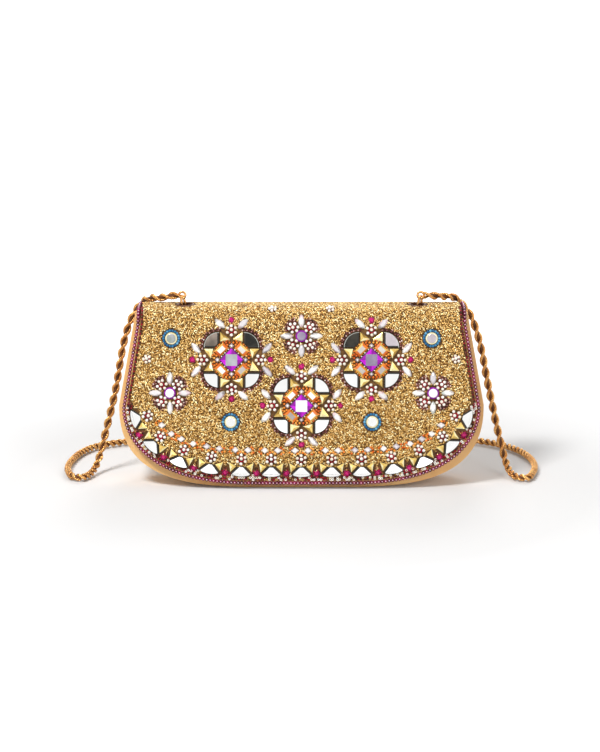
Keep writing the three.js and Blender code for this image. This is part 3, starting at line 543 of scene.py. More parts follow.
# %% The flap's surface
hinge_y = 2 * mm
flap_lean = math.radians(8)
fold_radius = 11 * mm
flap_crown = 1.6 * mm
cloth_thick = 1.4 * mm
fold_sweep = math.pi / 2 - flap_lean
fold_centre_z = bag_height - fold_radius
face_top_y = hinge_y - fold_radius * math.sin(fold_sweep)
face_top_z = fold_centre_z + fold_radius * math.cos(fold_sweep)
fold_length = fold_radius * fold_sweep


def s_at(z):
    """Distance from the hinge line, over the fold and down the face, to a height."""
    return fold_length + (face_top_z - z) / math.cos(flap_lean)


flap_length = s_at(flap_bottom)


def flap_surface(x, s, out):
    span = np.clip((s - fold_length / 2) / (flap_length - fold_length / 2), 0, 1)
    across = np.maximum(0, 1 - (x / flap_shoulder) ** 2)
    lift = flap_crown * across * np.sin(math.pi * span) + out
    turn = np.minimum(s / fold_radius, fold_sweep)
    past = np.maximum(s - fold_length, 0)
    y = hinge_y - np.sin(turn) * (fold_radius + lift) - past * math.sin(flap_lean)
    z = fold_centre_z + np.cos(turn) * (fold_radius + lift) - past * math.cos(flap_lean)
    return np.stack([x + 0 * y, y, z], -1)


def on_flap(corners, x, z, turn=0.0, lift=0.0):
    """Lays a flat shape on the flap: its x across, its y up the face and its z out of the cloth."""
    across = corners[:, 0] * math.cos(turn) - corners[:, 1] * math.sin(turn)
    up = corners[:, 0] * math.sin(turn) + corners[:, 1] * math.cos(turn)
    return flap_surface(x + across, s_at(z) - up, corners[:, 2] + lift)


def flap_half(inset=0.0):
    return half_outline(flap_bottom, flap_shoulder, flap_top, face_top_z, flap_pulls, inset)


print("flap", round(flap_length / mm, 1), "mm from hinge to hem")

# %% [markdown]
# ## Leather body
# The front and back are flat leather panels, and one strip of leather bends round the base and sides between
# them. Cutting each from its outline and giving it thickness is how it is made. A bevel rounds the cut edges,
# which is what catches the light along the rim of the bag.

# %% Helpers for leather
def face_y(z):
    return face_top_y - (face_top_z - z) * math.tan(flap_lean)


def front_outer(z):
    return face_y(z) + panel_setback


def back_inner(z):
    return back_top_y - leather_thick + (bag_height - z) * math.tan(math.radians(1.6))


def soften(piece, width, segments=3):
    """Rounds the sharp edges of a piece and shades it smooth."""
    bevel = piece.modifiers.new("soft_edges", "BEVEL")
    bevel.width = width
    bevel.segments = segments
    bevel.limit_method = "ANGLE"
    bevel.angle_limit = math.radians(35 if segments == 3 else 40)
    bevel.harden_normals = False
    return piece


def skin_sheet(rows, columns, near, far):
    """A closed sheet with two skins. near(i, j) and far(i, j) give its corners, row by row."""
    grid = [[skin(i, j) for i in range(rows + 1) for j in range(columns + 1)] for skin in (near, far)]
    stride = columns + 1
    under = len(grid[0])
    faces = []
    for i in range(rows):
        for j in range(columns):
            a = i * stride + j
            faces.append((a, a + stride, a + stride + 1, a + 1))
            faces.append((under + a, under + a + 1, under + a + stride + 1, under + a + stride))
    rim = ([(0, j) for j in range(columns)] + [(i, columns) for i in range(rows)]
           + [(rows, j) for j in range(columns, 0, -1)] + [(i, 0) for i in range(rows, 0, -1)])
    for (i, j), (k, m) in zip(rim, rim[1:] + rim[:1]):
        a, b = i * stride + j, k * stride + m
        faces.append((a, b, under + b, under + a))
    return np.array(grid[0] + grid[1]), faces


print("leather helpers ready")

# %% The back panel and the strip round the sides
panel_swell, gusset_sag = 1.2 * mm, 0.5 * mm
rim_height = 118.4 * mm


def build_back():
    rows = body_half(0, bag_height - 3 * mm)[5:]
    columns = 36
    high = rows[-1, 1]

    def skin(depth):
        def corner(i, j):
            half, z = rows[i]
            x = half * (2 * j / columns - 1)
            swell = panel_swell * (1 - (x / body_shoulder) ** 2) * math.sin(math.pi * z / high)
            return (x, back_inner(z) + depth + swell, z)
        return corner
    corners, faces = skin_sheet(len(rows) - 1, columns, skin(leather_thick), skin(0))
    return soften(new_piece("back_leather", corners, faces, [leather], "bag"), 0.5 * mm)


def build_gusset():
    outer, inner = both_halves(body_half(0, rim_height)), both_halves(body_half(gusset_thick, rim_height))
    steps = 10

    def skin(line):
        def corner(i, j):
            x, z = line[i]
            near, far = front_outer(z) + leather_thick + seat, back_inner(z) - seat
            share = j / steps
            dip = gusset_sag * math.sin(math.pi * share) * min(1, z / shoulder_height)
            return (x - math.copysign(dip, x), near + (far - near) * share, z)
        return corner
    corners, faces = skin_sheet(len(outer) - 1, steps, skin(outer), skin(inner))
    return soften(new_piece("side_leather", corners, faces, [leather], "bag"), 0.45 * mm)


horn_x, horn_z = 109.6 * mm, 118.4 * mm


def build_front():
    """The front panel. Its rim is scooped for the hand, and a narrow horn stands at each side of the flap."""
    corner_x, corner_z = body_half(0, 115 * mm)[-1]
    low, scoop, flat, upper, ledge = 90 * mm, 78 * mm, 43 * mm, 82 * mm, corner_x - 6 * mm
    dip = bezier(((ledge, corner_z), (upper, corner_z), (scoop, low), (flat, low)), 24)
    horn = np.array([(horn_x, horn_z), (horn_x, corner_z)])
    line = np.vstack([both_halves(body_half(0, horn_z)), horn, dip, dip[::-1] * (-1, 1), horn[::-1] * (-1, 1)])
    count = len(line)
    corners = [(x, front_outer(z), z) for x, z in line] + [(x, front_outer(z) + leather_thick, z) for x, z in line]
    faces = [tuple(range(count)), tuple(range(count, 2 * count))[::-1]]
    faces += [(i, count + i, count + (i + 1) % count, (i + 1) % count) for i in range(count)]
    return soften(new_piece("front_leather", corners, faces, [leather], "bag"), 0.55 * mm)


for build, node in ((build_back, "back_panel"), (build_gusset, "gusset"), (build_front, "front_panel")):
    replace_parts(build(), node)
print("leather body made")

# %% [markdown]
# ## Linings
# A thin pouch of twill lines the body, and a second panel of it backs the flap. The pouch keeps its packed
# solid and takes the twill. The flap's backing is seen whole when the flap opens, so it is made finer here.

# %% The flap's sheets: lining and beaded cloth
def flap_rows(inset, start, fold_steps=8):
    """Rows of the flap from its hinge to its hem, each with its distance and its half width."""
    fold = [(s, flap_top - inset) for s in np.linspace(start, fold_length, fold_steps + 1)[:-1]]
    return fold + [(s_at(z), x) for x, z in flap_half(inset)[5:][::-1]]


def flap_sheet(inset, near, far, columns=40):
    rows = flap_rows(inset, seat / 2)
    halves = np.array([half for _, half in rows])[:, None]
    lengths = np.array([s for s, _ in rows])[:, None]
    across = halves * (np.arange(columns + 1) * 2 / columns - 1)
    skins = [flap_surface(across, lengths + 0 * across, -depth) for depth in (near, far)]
    return skin_sheet(len(rows) - 1, columns, lambda i, j: skins[0][i, j], lambda i, j: skins[1][i, j])


lining_near = cloth_thick + seat
flap_lining = soften(new_piece("flap_twill", *flap_sheet(2.2 * mm, lining_near, lining_near + 1 * mm), [twill],
                               "flap"), 0.3 * mm)
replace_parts(flap_lining, "flap_lining")
flap_cloth = new_piece("flap_beaded_cloth", *flap_sheet(0, 0, cloth_thick), [cloth], "flap")
soften(flap_cloth, 0.3 * mm)
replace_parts(flap_cloth, "flap_cloth")
print("flap sheets made")

# %% [markdown]
# The strip at the back of the fold is sewn to the body and carries the eyelets. It is the same beaded cloth.
# Its section is a path: level behind the hinge, round the top edge of the back, and a short way down.

# %% The root strip
root_drop = 13 * mm
root_edge = 3 * mm
eyelet_x, eyelet_y = 79.5 * mm, 9.9 * mm
eyelet_bore, eyelet_flange = 4.75 * mm, 6.8 * mm


def root_line(depth, steps=10):
    """The strip's section from the hinge line to its back hem, at a depth below its face, as y and z."""
    far = back_inner(bag_height) + leather_thick + seat + cloth_thick - depth
    radius = root_edge - depth
    level = [(y, bag_height - depth) for y in np.linspace(hinge_y + seat / 2, far - radius, 18)[:-1]]
    turns = np.linspace(0, math.pi / 2, steps + 1)
    bend = [(far - radius + radius * math.sin(t), bag_height - depth - radius + radius * math.cos(t)) for t in turns]
    low = bag_height - root_drop
    hem_y = back_inner(low) + leather_thick + seat + cloth_thick - depth
    start_y, start_z = bend[-1]
    drop = [(start_y + (hem_y - start_y) * t, start_z + (low - start_z) * t) for t in np.linspace(0, 1, 9)[1:]]
    return np.array(level + bend + drop)


def raised(outline, height):
    return np.column_stack([outline, np.full(len(outline), height)])


def build_root():
    outer, inner = root_line(0), root_line(cloth_thick)
    columns = 2

    def skin(line):
        return lambda i, j: (flap_top * (2 * j / columns - 1), *line[i])
    strip = new_piece("root_beaded_cloth", *skin_sheet(len(outer) - 1, columns, skin(outer), skin(inner)), [cloth],
                      "bag")
    for side in (-1, 1):
        circle = polygon(eyelet_bore + 0.8 * mm, 40) + (side * eyelet_x, eyelet_y)
        corners, faces, _ = stack([raised(circle, bag_height - 4 * mm), raised(circle, bag_height + 2 * mm)], [0, 0])
        punch_mesh = bpy.data.meshes.new("punch")
        punch_mesh.from_pydata(corners.tolist(), [], faces)
        punch = add_object("punch", punch_mesh)
        cut = strip.modifiers.new("eyelet_hole", "BOOLEAN")
        cut.object = punch
        bpy.context.view_layer.objects.active = strip
        bpy.ops.object.modifier_apply(modifier=cut.name)
        bpy.data.objects.remove(punch)
    return strip


root_cloth = build_root()
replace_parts(root_cloth, "flap_root")
print("root strip", len(root_cloth.data.polygons), "faces")

# %% [markdown]
# Where the flap opens, the real cloth simply bends. The two sheets here turn about a line instead, so a strip
# of twill under them crosses that line and closes the crease.

# %% The strip under the crease
def build_crease_strip():
    reach, steps, columns = 3.6 * mm, 12, 20
    depths = np.interp(np.linspace(-1, 1, steps + 1), (-1, 0.1, 1), (1.75, 2.9, 2.9)) * mm
    runs = np.linspace(-1.0 * mm, reach, steps + 1)
    half = flap_top - 3 * mm

    def skin(extra):
        def corner(i, j):
            x = half * (2 * j / columns - 1)
            if runs[i] < 0:
                return (x, hinge_y - runs[i], bag_height - depths[i] - extra)
            return tuple(flap_surface(x, runs[i], -depths[i] - extra))
        return corner
    return new_piece("crease_strip", *skin_sheet(steps, columns, skin(0), skin(0.25 * mm)), [twill], None)


crease_strip = build_crease_strip()
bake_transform(crease_strip)

# %% [markdown]
# ## Where the ornament sits
# Three medallions, three starbursts, four small round mirrors and a few florets lie on the gold ground, and a
# border follows the hem. Their places are written first, because the gold beads have to leave room for them.

# %% Places of the ornament
medallions = [(-47.5 * mm, 88 * mm), (0, 57 * mm), (47.5 * mm, 88 * mm)]
stars = [(0, 104 * mm), (-89.5 * mm, 65.5 * mm), (89.5 * mm, 65.5 * mm)]
round_mirrors = [(-88.4 * mm, 102.4 * mm), (-48.2 * mm, 46 * mm), (48.2 * mm, 46 * mm), (88.4 * mm, 102.4 * mm)]
florets = [(-105 * mm, 88.5 * mm), (105 * mm, 88.5 * mm), (-19.6 * mm, 123.2 * mm), (19.6 * mm, 123.2 * mm)]
half_stations = np.array([20.6, 41.4, 63.8, 86.2, 109.8, 134.7]) * mm
leaf_stations = np.concatenate([-half_stations[::-1], [0], half_stations])
half_insets = np.array([5.9, 6.1, 6.0, 5.5, 5.3, 5.6]) * mm
leaf_insets = np.concatenate([half_insets[::-1], [5.8 * mm], half_insets])
leaf_count, leaf_tip = len(leaf_stations), -0.9 * mm
cluster_rise, lozenge_rise = 9.2 * mm, 15.6 * mm
star_reach, star_cluster_out, medallion_cluster_up = 10 * mm, 5.5 * mm, 19.8 * mm
petal_across, petal_up, petal_turn, ruby_up = 7.8 * mm, 24.2 * mm, math.radians(41), 26.5 * mm

edge_line = flap_half()
edge_run = run_along(edge_line)
edge_along = np.gradient(edge_line, axis=0)


def border_place(distance, inset):
    """A place on the border: x, z and turn, at a distance from the middle measured along the flap's edge."""
    at = abs(distance)
    x, z, *along = (np.interp(at, edge_run, column) for column in np.hstack([edge_line, edge_along]).T)
    along = unit(np.array(along))
    side = -1 if distance < 0 else 1
    return (x - along[1] * inset) * side, z + along[0] * inset, math.atan2(along[1], along[0]) * side


def quarters(places):
    """Each place four times, a quarter turn on each time: its number, the quarter, x, z and the turn."""
    return [(number, quarter, x, z, quarter * math.pi / 2) for number, (x, z) in enumerate(places)
            for quarter in range(4)]


def around(x, z, turn, across, up):
    """The place that lies across and up from another, after that one's turn."""
    return (x + across * math.cos(turn) - up * math.sin(turn), z + across * math.sin(turn) + up * math.cos(turn))


lozenge_across = 4.4 * mm
leaf_places = [border_place(*spot) for spot in zip(leaf_stations, leaf_insets)]


def above_leaf(leaf, across, up):
    """A place across from a leaf's middle and up from the line through its tips."""
    x, z, turn = leaf
    return around(x, z, turn, across, up + leaf_tip)


cluster_places = [(*above_leaf(leaf, 0, cluster_rise), leaf[2]) for leaf in leaf_places]
ruby_places = []
for leaf, following in zip(leaf_places, leaf_places[1:]):
    ends = above_leaf(leaf, 10.4 * mm, -0.1 * mm), above_leaf(following, -10.4 * mm, -0.1 * mm)
    ruby_places.append((*np.mean(ends, axis=0), (leaf[2] + following[2]) / 2))
lozenge_places = [above_leaf(leaf, side * lozenge_across, lozenge_rise) for leaf in leaf_places[1:-1]
                  for side in (-1, 1)]
print(len(medallions), "medallions,", leaf_count, "leaves,", len(ruby_places), "border rubies")

# %% [markdown]
# ## Gold bugle beads
# The ground is thousands of bugle beads about 2 mm long, sewn so close and so crosswise that the cloth shows
# only as dark specks. A bump map would look flat from the side. Real beads cost 24 triangles each as a barrel
# of six sides, which a few thousand can afford. They start from a jittered grid, so that none is missing.

# %% Lay the bugle beads
bead_pitch = 1.28 * mm
bead_half_length, bead_radius = 0.9 * mm, 0.46 * mm
bead_sides = 6


def barrel(half_length, radius, sides, shoulder=0.72):
    """A bead along its own x: two rings and two tips."""
    corners = [(x, *spot) for x in (-half_length * shoulder, half_length * shoulder) for spot in polygon(radius, sides)]
    corners += [(-half_length, 0, 0), (half_length, 0, 0)]
    faces = []
    for i in range(sides):
        k = (i + 1) % sides
        faces += [(i, k, sides + k), (i, sides + k, sides + i),
                  (2 * sides, k, i), (2 * sides + 1, sides + i, sides + k)]
    return np.array(corners), np.array(faces)


def ornament_rooms():
    """Circles on the flap, as x, z and radius, that the bugle beads leave free."""
    in_medallions = [(9, 9, 12.4), (0, 19.6, 3.6), (0, ruby_up / mm, 2.1)]
    in_medallions += [(side * (petal_across / mm + share * 2.2), petal_up / mm + share * 2, 1.7 if share else 2.1)
                      for side in (-1, 1) for share in (-1, 0, 1)]
    in_stars = [(7.4, 0, 1.9), (star_reach / mm, 0, 2.4), (12.8, 0, 1.6), (6.3, 6.3, 4.9)]
    rooms = [(x, z, radius * mm) for places, radius in ((medallions, 16.6), (stars, 5.2), (round_mirrors, 6.7),
                                                        (florets, 3)) for x, z in places]
    for places, spots in ((medallions, in_medallions), (stars, in_stars)):
        rooms += [(*around(x, z, turn, across * mm, up * mm), radius * mm)
                  for _, _, x, z, turn in quarters(places) for across, up, radius in spots]
    for leaf in leaf_places:
        spots = [(share * 3.7, 0.6, 3.9) for share in (-1, 0, 1)]
        spots += [(side * 7.2, 3.6, 3.1) for side in (-1, 1) if leaf is not leaf_places[-(side + 1) // 2]]
        spots += [(across, up, 2.9) for across in (-11.5, -9, -6, -3, 0, 3, 6, 9, 11.5) for up in (-1.5, -4.2)]
        rooms += [(*above_leaf(leaf, across * mm, up * mm), radius * mm) for across, up, radius in spots]
    rooms += [(x, z, 3.7 * mm) for x, z, _ in cluster_places]
    return np.array(rooms + [(*spot, 2.3 * mm) for spot in lozenge_places])


def jittered_grid(x_half, s_start, s_end, pitch):
    """Places of a close grid with every second row set over, each moved a little at random."""
    rise = pitch * 0.87
    rows = np.arange(s_start, s_end, rise)
    columns = np.arange(-x_half, x_half, pitch)
    x = columns[None, :] + (np.arange(len(rows)) % 2 * pitch / 2)[:, None]
    s = rows[:, None] + 0 * x
    places = np.stack([x, s], -1).reshape(-1, 2)
    return places + dice.uniform(-0.3, 0.3, places.shape) * pitch


def bead_field(name, places, surface, body, parts):
    """Beads at places given as x and s, laid by the surface function, in a few joined pieces."""
    template, faces = barrel(bead_half_length, bead_radius, bead_sides)
    turns = dice.uniform(0, math.pi, len(places))
    tilts = dice.uniform(-0.2, 0.2, len(places))
    lifts = dice.uniform(0.2, 0.55, len(places)) * mm
    lengths = dice.uniform(0.85, 1.1, len(places))
    local_x = template[None, :, 0] * lengths[:, None]
    across = local_x * np.cos(turns)[:, None] - template[None, :, 1] * np.sin(turns)[:, None]
    down = -(local_x * np.sin(turns)[:, None] + template[None, :, 1] * np.cos(turns)[:, None])
    out = template[None, :, 2] + local_x * np.sin(tilts)[:, None] + lifts[:, None]
    corners = surface(places[:, :1] + across, places[:, 1:] + down, out)
    for number, chosen in enumerate(np.array_split(np.argsort(places[:, 0]), parts)):
        joined = corners[chosen].reshape(-1, 3)
        all_faces = (faces[None] + (np.arange(len(chosen)) * len(template))[:, None, None]).reshape(-1, 3)
        new_piece(f"{name}_{number + 1}", joined, all_faces, [bugle_gold], body)
        print(name, number + 1, "has", len(chosen), "beads")


def flap_bead_places():
    places = jittered_grid(flap_shoulder, 1.4 * mm, flap_length - 0.8 * mm, bead_pitch)
    rows = np.array(flap_rows(1.9 * mm, 0))
    half = np.interp(places[:, 1], rows[:, 0], rows[:, 1])
    heights = face_top_z - (places[:, 1] - fold_length) * math.cos(flap_lean)
    free = np.abs(places[:, 0]) < half
    for x, z, radius in ornament_rooms():
        free &= (places[:, 0] - x) ** 2 + (heights - z) ** 2 > radius ** 2
    return places[free]


bead_field("bugle_beads", flap_bead_places(), flap_surface, "flap", 3)

# %% Beads on the root strip
root_path = root_line(0)
root_run = run_along(root_path)
root_slope = unit(np.gradient(root_path, axis=0))


def root_surface(x, s, out):
    """A place on the root strip: x across, s back from the hinge line, out of the cloth."""
    y, z, slope_y, slope_z = (np.interp(s, root_run, column) for column in
                              (root_path[:, 0], root_path[:, 1], root_slope[:, 0], root_slope[:, 1]))
    return np.stack([x + 0 * y, y - slope_z * out, z + slope_y * out], -1)


def root_bead_places():
    places = jittered_grid(flap_top - 0.8 * mm, 1.3 * mm, root_run[-1] - 0.6 * mm, bead_pitch * 1.05)
    eyelet_s = eyelet_y - root_path[0, 0]
    free = np.abs(places[:, 0]) < flap_top - 0.9 * mm
    for side in (-1, 1):
        free &= ((places[:, 0] - side * eyelet_x) ** 2 + (places[:, 1] - eyelet_s) ** 2
                 > (eyelet_flange + 0.7 * mm) ** 2)
    return places[free]


bead_field("root_bugle_beads", root_bead_places(), root_surface, "bag", 1)

# %% [markdown]
# ## Stones and mirrors
# A cut stone is its outline carried through a few levels: a narrow base, a straight girdle, a sloped crown and
# a flat table. A mirror tile is the same with a black ground edge round its silvered top. Both stay flat
# shaded, because facets are what makes them flash.

# %% Cut stones and tiles
def levels(outline, rings, looks):
    """A stone through rings given as height and share of the outline."""
    return stack([raised(outline * share, height) for height, share in rings], looks)


def inset_outline(outline, widths):
    """Moves each edge of an outline inwards by its own width and joins the moved edges again."""
    moved = []
    for i, here in enumerate(outline):
        before, after = outline[i - 1], outline[(i + 1) % len(outline)]
        a, b = unit(here - before), unit(after - here)
        inward_a, inward_b = np.array((-a[1], a[0])), np.array((-b[1], b[0]))
        width_a, width_b = widths[i - 1], widths[i]
        cross = a[0] * b[1] - a[1] * b[0]
        if abs(cross) < 1e-6:
            moved.append(here + inward_a * width_a)
            continue
        gap = inward_b * width_b - inward_a * width_a
        moved.append(here + inward_a * width_a + a * (gap[0] * b[1] - gap[1] * b[0]) / cross)
    return np.array(moved)


def edged_tile(outline, widths, rise, bevel=0.12 * mm):
    """A tile with a black edge band of the given widths and a bright top. Looks: 0 bright, 1 black."""
    top = inset_outline(outline, widths)
    return stack([raised(outline, 0), raised(outline, rise - bevel), raised(top, rise - bevel), raised(top, rise)],
                 [1, 1, 0, 0])


def lay(batch, shape, x, z, turn=0.0, lift=0.0):
    corners, faces, face_looks = shape
    batch.add(on_flap(corners, x, z, turn, lift), faces, face_looks)


def ball(radius, segments=10, rings=6):
    """A small ball as a shape that can be laid on the flap, standing on the cloth."""
    corners = [(0, 0, radius * 2)]
    for i in range(1, rings):
        polar = math.pi * i / rings
        corners += [*raised(polygon(radius * math.sin(polar), segments), radius * (1 + math.cos(polar)))]
    corners.append((0, 0, 0))
    faces = []
    for i in range(segments):
        k = (i + 1) % segments
        faces.append((0, 1 + i, 1 + k))
        for level in range(rings - 2):
            a = 1 + level * segments
            faces.append((a + i, a + segments + i, a + segments + k, a + k))
        a = 1 + (rings - 2) * segments
        faces.append((len(corners) - 1, a + k, a + i))
    return np.array(corners), faces, [0] * len(faces)


glue = 0.35 * mm    # a stone stands on this much glue above the cloth
print("stone cutting ready")

# %% [markdown]
# Each medallion has a purple square stone set on its corner. The cut is unusual: the table is an upright square
# whose corners reach the girdle, so only four large facets are left, one to each corner. A ridge splits each
# facet into a half in painted light and a half in painted shade; the rim is painted shade and the table a
# painted reflection.

# %% Centre stones
centre_half = 8.5 * mm
centre_rise = 2.4 * mm


def centre_cut():
    """Looks: 0 rim in painted shade, 1 facets in painted light, 2 facets in painted shade, 3 table in painted
    reflection.
    """
    diamond = polygon(centre_half, 4)
    table = polygon(centre_half * 0.65, 4, math.pi / 4)
    corners = [(*p, 0) for p in diamond * 0.96] + [(*p, 0.9 * mm) for p in diamond]
    corners += [(*p, 1.1 * mm) for p in diamond * 0.93] + [(*p, centre_rise) for p in table]
    corners += [(*((table[i - 1] + table[i]) / 2), centre_rise) for i in range(4)]
    faces, face_looks = [(3, 2, 1, 0), (12, 13, 14, 15)], [0, 3]
    for i in range(4):
        k = (i + 1) % 4
        faces += [(i, k, 4 + k, 4 + i), (4 + i, 4 + k, 8 + k, 8 + i)]
        face_looks += [0, 0]
        faces += [(8 + i, 12 + i, 16 + i), (8 + i, 16 + i, 12 + (i - 1) % 4), (8 + i, 8 + k, 12 + i)]
        face_looks += [1, 2, 2]
    return np.array(corners), faces, face_looks


# Each centre stone's table is a painted reflection.
for number, ((x, z), table) in enumerate(zip(medallions, (table_painted_green_reflection, table_painted_white_reflection, table_painted_mauve_reflection)), 1):
    stone = Batch()
    lay(stone, centre_cut(), x, z, 0, glue)
    stone.piece(f"centre_stone_cut_{number}", [purple_rim_painted_shade, purple, deep_purple_and_painted_shade, table], slot="purple_stone",
                nodes=[f"centre_stone_{number}"])

# %% [markdown]
# Four amber cushions fill the round of each medallion, and a small clear stone sits at each corner of the
# purple one. Amber beads close the circle outside.

# %% Amber cushions and corner stones
cushion_long, cushion_short, cushion_rise = 8.8 * mm, 5.6 * mm, 2.0 * mm
cushion_out, chip_up = 9.7 * mm, 9.5 * mm
bead_circle = 13.2 * mm


def oblong(length, width):
    return np.array([(-length, -width), (length, -width), (length, width), (-length, width)]) / 2


def cushion_cut():
    """Looks: 0 table in painted reflection, 1 outer facet in painted light, 2 inner amber facet, 3 ends in painted
    shade.
    """
    base = oblong(cushion_long, cushion_short)
    sides = [2, 3, 1, 3]
    return stack([raised(base * 0.94, 0), raised(base, 0.9 * mm), raised(oblong(5.0 * mm, 3.1 * mm), cushion_rise)],
                 [sides, sides, 0], foot=3)


cushions, chips = Batch(), Batch()
# A corner stone's sides carry a painted grey reflection.
chip = levels(polygon(1.8 * mm, 4), [(0, 0.9), (0.9 * mm, 1), (1.7 * mm, 0.45)], [1, 1, 0])
diagonal = cushion_out * math.sqrt(0.5)
for _, _, x, z, turn in quarters(medallions):
    lay(cushions, cushion_cut(), *around(x, z, turn, diagonal, diagonal), turn - math.pi / 4)
    lay(chips, chip, *around(x, z, turn, 0, chip_up), turn)
cushions.piece("amber_cushions", [amber_table_painted_reflection, amber_painted_light, amber, amber_painted_shade])
chips.piece("corner_crystals", [crystal, crystal_painted_grey_reflection])

# %% [markdown]
# Outside the amber round stand four mirror fans. A fan is a quarter disc whose inner corner is cut off by the
# amber circle. Its straight sides have broad black edges; its round sides have hardly any.

# %% Mirror fans
fan_centre, fan_outer = 8.6 * mm, 10.4 * mm
fan_cut = 14.3 * mm
tile_rise = 1.2 * mm
fan_steps = 10
cut_turn = math.asin(fan_centre / fan_cut)


def arc(middle, radius, start, end, steps):
    turns = np.linspace(start, end, steps + 1)
    return np.stack([middle + radius * np.cos(turns), middle + radius * np.sin(turns)], 1)


fan_outline = np.vstack([arc(fan_centre, fan_outer, 0, math.pi / 2, fan_steps),
                         arc(0, fan_cut, math.pi / 2 - cut_turn, cut_turn, 5)])
fan_widths = [0.25 * mm] * fan_steps + [1.0 * mm] + [0.2 * mm] * 5 + [1.0 * mm]
fan_tile = edged_tile(fan_outline, fan_widths, tile_rise)
# Four fans carry a painted dark, brown or pale reflection instead of the plain mirror.
fan_tones = {(0, 0): 2, (0, 1): 3, (2, 1): 2, (2, 0): 4}

for m, (x, z) in enumerate(medallions):
    fans = Batch()
    for q in range(4):
        corners, faces, face_looks = fan_tile
        tinted = [fan_tones.get((m, q), 0) if look == 0 else look for look in face_looks]
        fans.add(on_flap(corners, x, z, q * math.pi / 2, glue), faces, tinted)
    fans.piece(f"mirror_fans_{m + 1}", [mirror, black_edge, mirror_painted_dark_reflection, mirror_painted_brown_reflection, mirror_painted_pale_reflection],
               slot="mirror_glass", nodes=[f"mirror_fan_{m + 1}_{q + 1}" for q in range(4)])

# A fan with a painted dark reflection gets a bright line of dashes along its round side.
lines = Batch()
dash = levels(oblong(1.15 * mm, 0.35 * mm), [(0, 1), (0.12 * mm, 1)], [0, 0])
line_reach, line_margin, dash_count = fan_outer - 0.55 * mm, 0.04, 15
for m, q in fan_tones:
    turn = q * math.pi / 2
    for angle in np.linspace(line_margin, math.pi / 2 - line_margin, dash_count):
        spot = fan_centre + line_reach * math.cos(angle), fan_centre + line_reach * math.sin(angle)
        lay(lines, dash, *around(*medallions[m], turn, *spot), turn + angle + math.pi / 2, tile_rise + glue)
lines.piece("silver_lines", [silver_line])

# %% [markdown]
# The border's mirrors are leaves: a short flat edge faces inwards, two straight sides run out to pointed tips
# and one curved side faces the hem.

# %% Mirror leaves and round mirrors
leaf_half, leaf_inner, leaf_inner_half, leaf_outer = 6.6 * mm, 3.4 * mm, 2.2 * mm, 3.3 * mm
leaf_steps = 12
leaf_turns = np.linspace(0, math.pi, leaf_steps + 1)
leaf_outline = np.vstack([np.stack([-leaf_half * np.cos(leaf_turns),
                                    leaf_tip - (leaf_outer + leaf_tip) * np.sin(leaf_turns) ** 0.85], 1),
                          [(leaf_inner_half, leaf_inner), (-leaf_inner_half, leaf_inner)]])
leaf_widths = [0.15 * mm] * leaf_steps + [0.9 * mm, 0.2 * mm, 0.9 * mm]
leaf_tile = edged_tile(leaf_outline, leaf_widths, tile_rise)
leaves = Batch()
for x, z, turn in leaf_places:
    lay(leaves, leaf_tile, x, z, turn, glue)
leaves.piece("mirror_leaves", [mirror, black_edge], slot="mirror_glass",
             nodes=[f"mirror_leaf_{i + 1}" for i in range(leaf_count)])

discs = Batch()
# The first round mirror carries a painted grey-green reflection and the last a painted pale reflection.
for (x, z), tone in zip(round_mirrors, (1, 0, 0, 2)):
    for radius, rings, look in ((3.1, [(0, 1), (1.2 * mm, 1), (1.3 * mm, 0.94)], tone),
                                (4.1, [(0, 1), (0.8 * mm, 1), (1.0 * mm, 0.93)], 3)):
        lay(discs, levels(polygon(radius * mm, 28), rings, [look] * 3), x, z, 0, glue)
discs.piece("round_mirror_discs", [mirror, table_painted_green_reflection, mirror_painted_pale_reflection, cream], slot="mirror_glass",
            nodes=[f"round_mirror_{i + 1}" for i in range(4)])

# %% [markdown]
# Gilt wedges are three-cornered bits of yellow mirror glass. They stand in pairs between the fans, and in pairs
# beside each leaf of the border. Each is cut as a low pyramid, and its facets carry painted light, a middle tone
# and painted shade.

# %% Gilt wedges
wedge_rise = 1.6 * mm
medallion_wedge = np.array([(0.5, 14.0), (7.7, 12.2), (7.7, 19.3)]) * mm
border_wedge = np.array([(3.0, 4.5), (7.4, 0.2), (8.6, 7.5)]) * mm


def mirrored(outline):
    return (outline * (-1, 1))[::-1]


def pyramid(outline, looks):
    """A low pyramid on a dark rim, at its own place. Look 3 is the rim."""
    middle = outline.mean(0)
    rim = inset_outline(outline, [0.2 * mm] * 3)
    corners = [*raised(outline, 0), *raised(outline, 0.8 * mm), *raised(rim, 0.8 * mm), (*middle, wedge_rise)]
    faces, face_looks = [(2, 1, 0)], [3]
    for i in range(3):
        k = (i + 1) % 3
        faces += [(i, k, 3 + k, 3 + i), (3 + i, 3 + k, 6 + k, 6 + i), (6 + i, 6 + k, 9)]
        face_looks += [3, 3, looks[i]]
    return np.array(corners), faces, face_looks


wedges = Batch()
for _, _, x, z, turn in quarters(medallions):
    lay(wedges, pyramid(medallion_wedge, (0, 0, 1)), x, z, turn)
    lay(wedges, pyramid(mirrored(medallion_wedge), (1, 0, 2)), x, z, turn)
for leaf in leaf_places:
    spot = above_leaf(leaf, 0, 0)
    if leaf is not leaf_places[-1]:
        lay(wedges, pyramid(border_wedge, (1, 0, 1)), *spot, leaf[2])
    if leaf is not leaf_places[0]:
        lay(wedges, pyramid(mirrored(border_wedge), (0, 1, 1)), *spot, leaf[2])
wedges.piece("gilt_wedges", [gilt_painted_light, gilt, gilt_painted_shade, black_edge])

# %% [markdown]
# The clear stones are marquises, pointed ovals, in pairs like a letter V round each medallion and crosswise in
# each starburst. Rubies are small and round, and white lozenges run in pairs along the border.

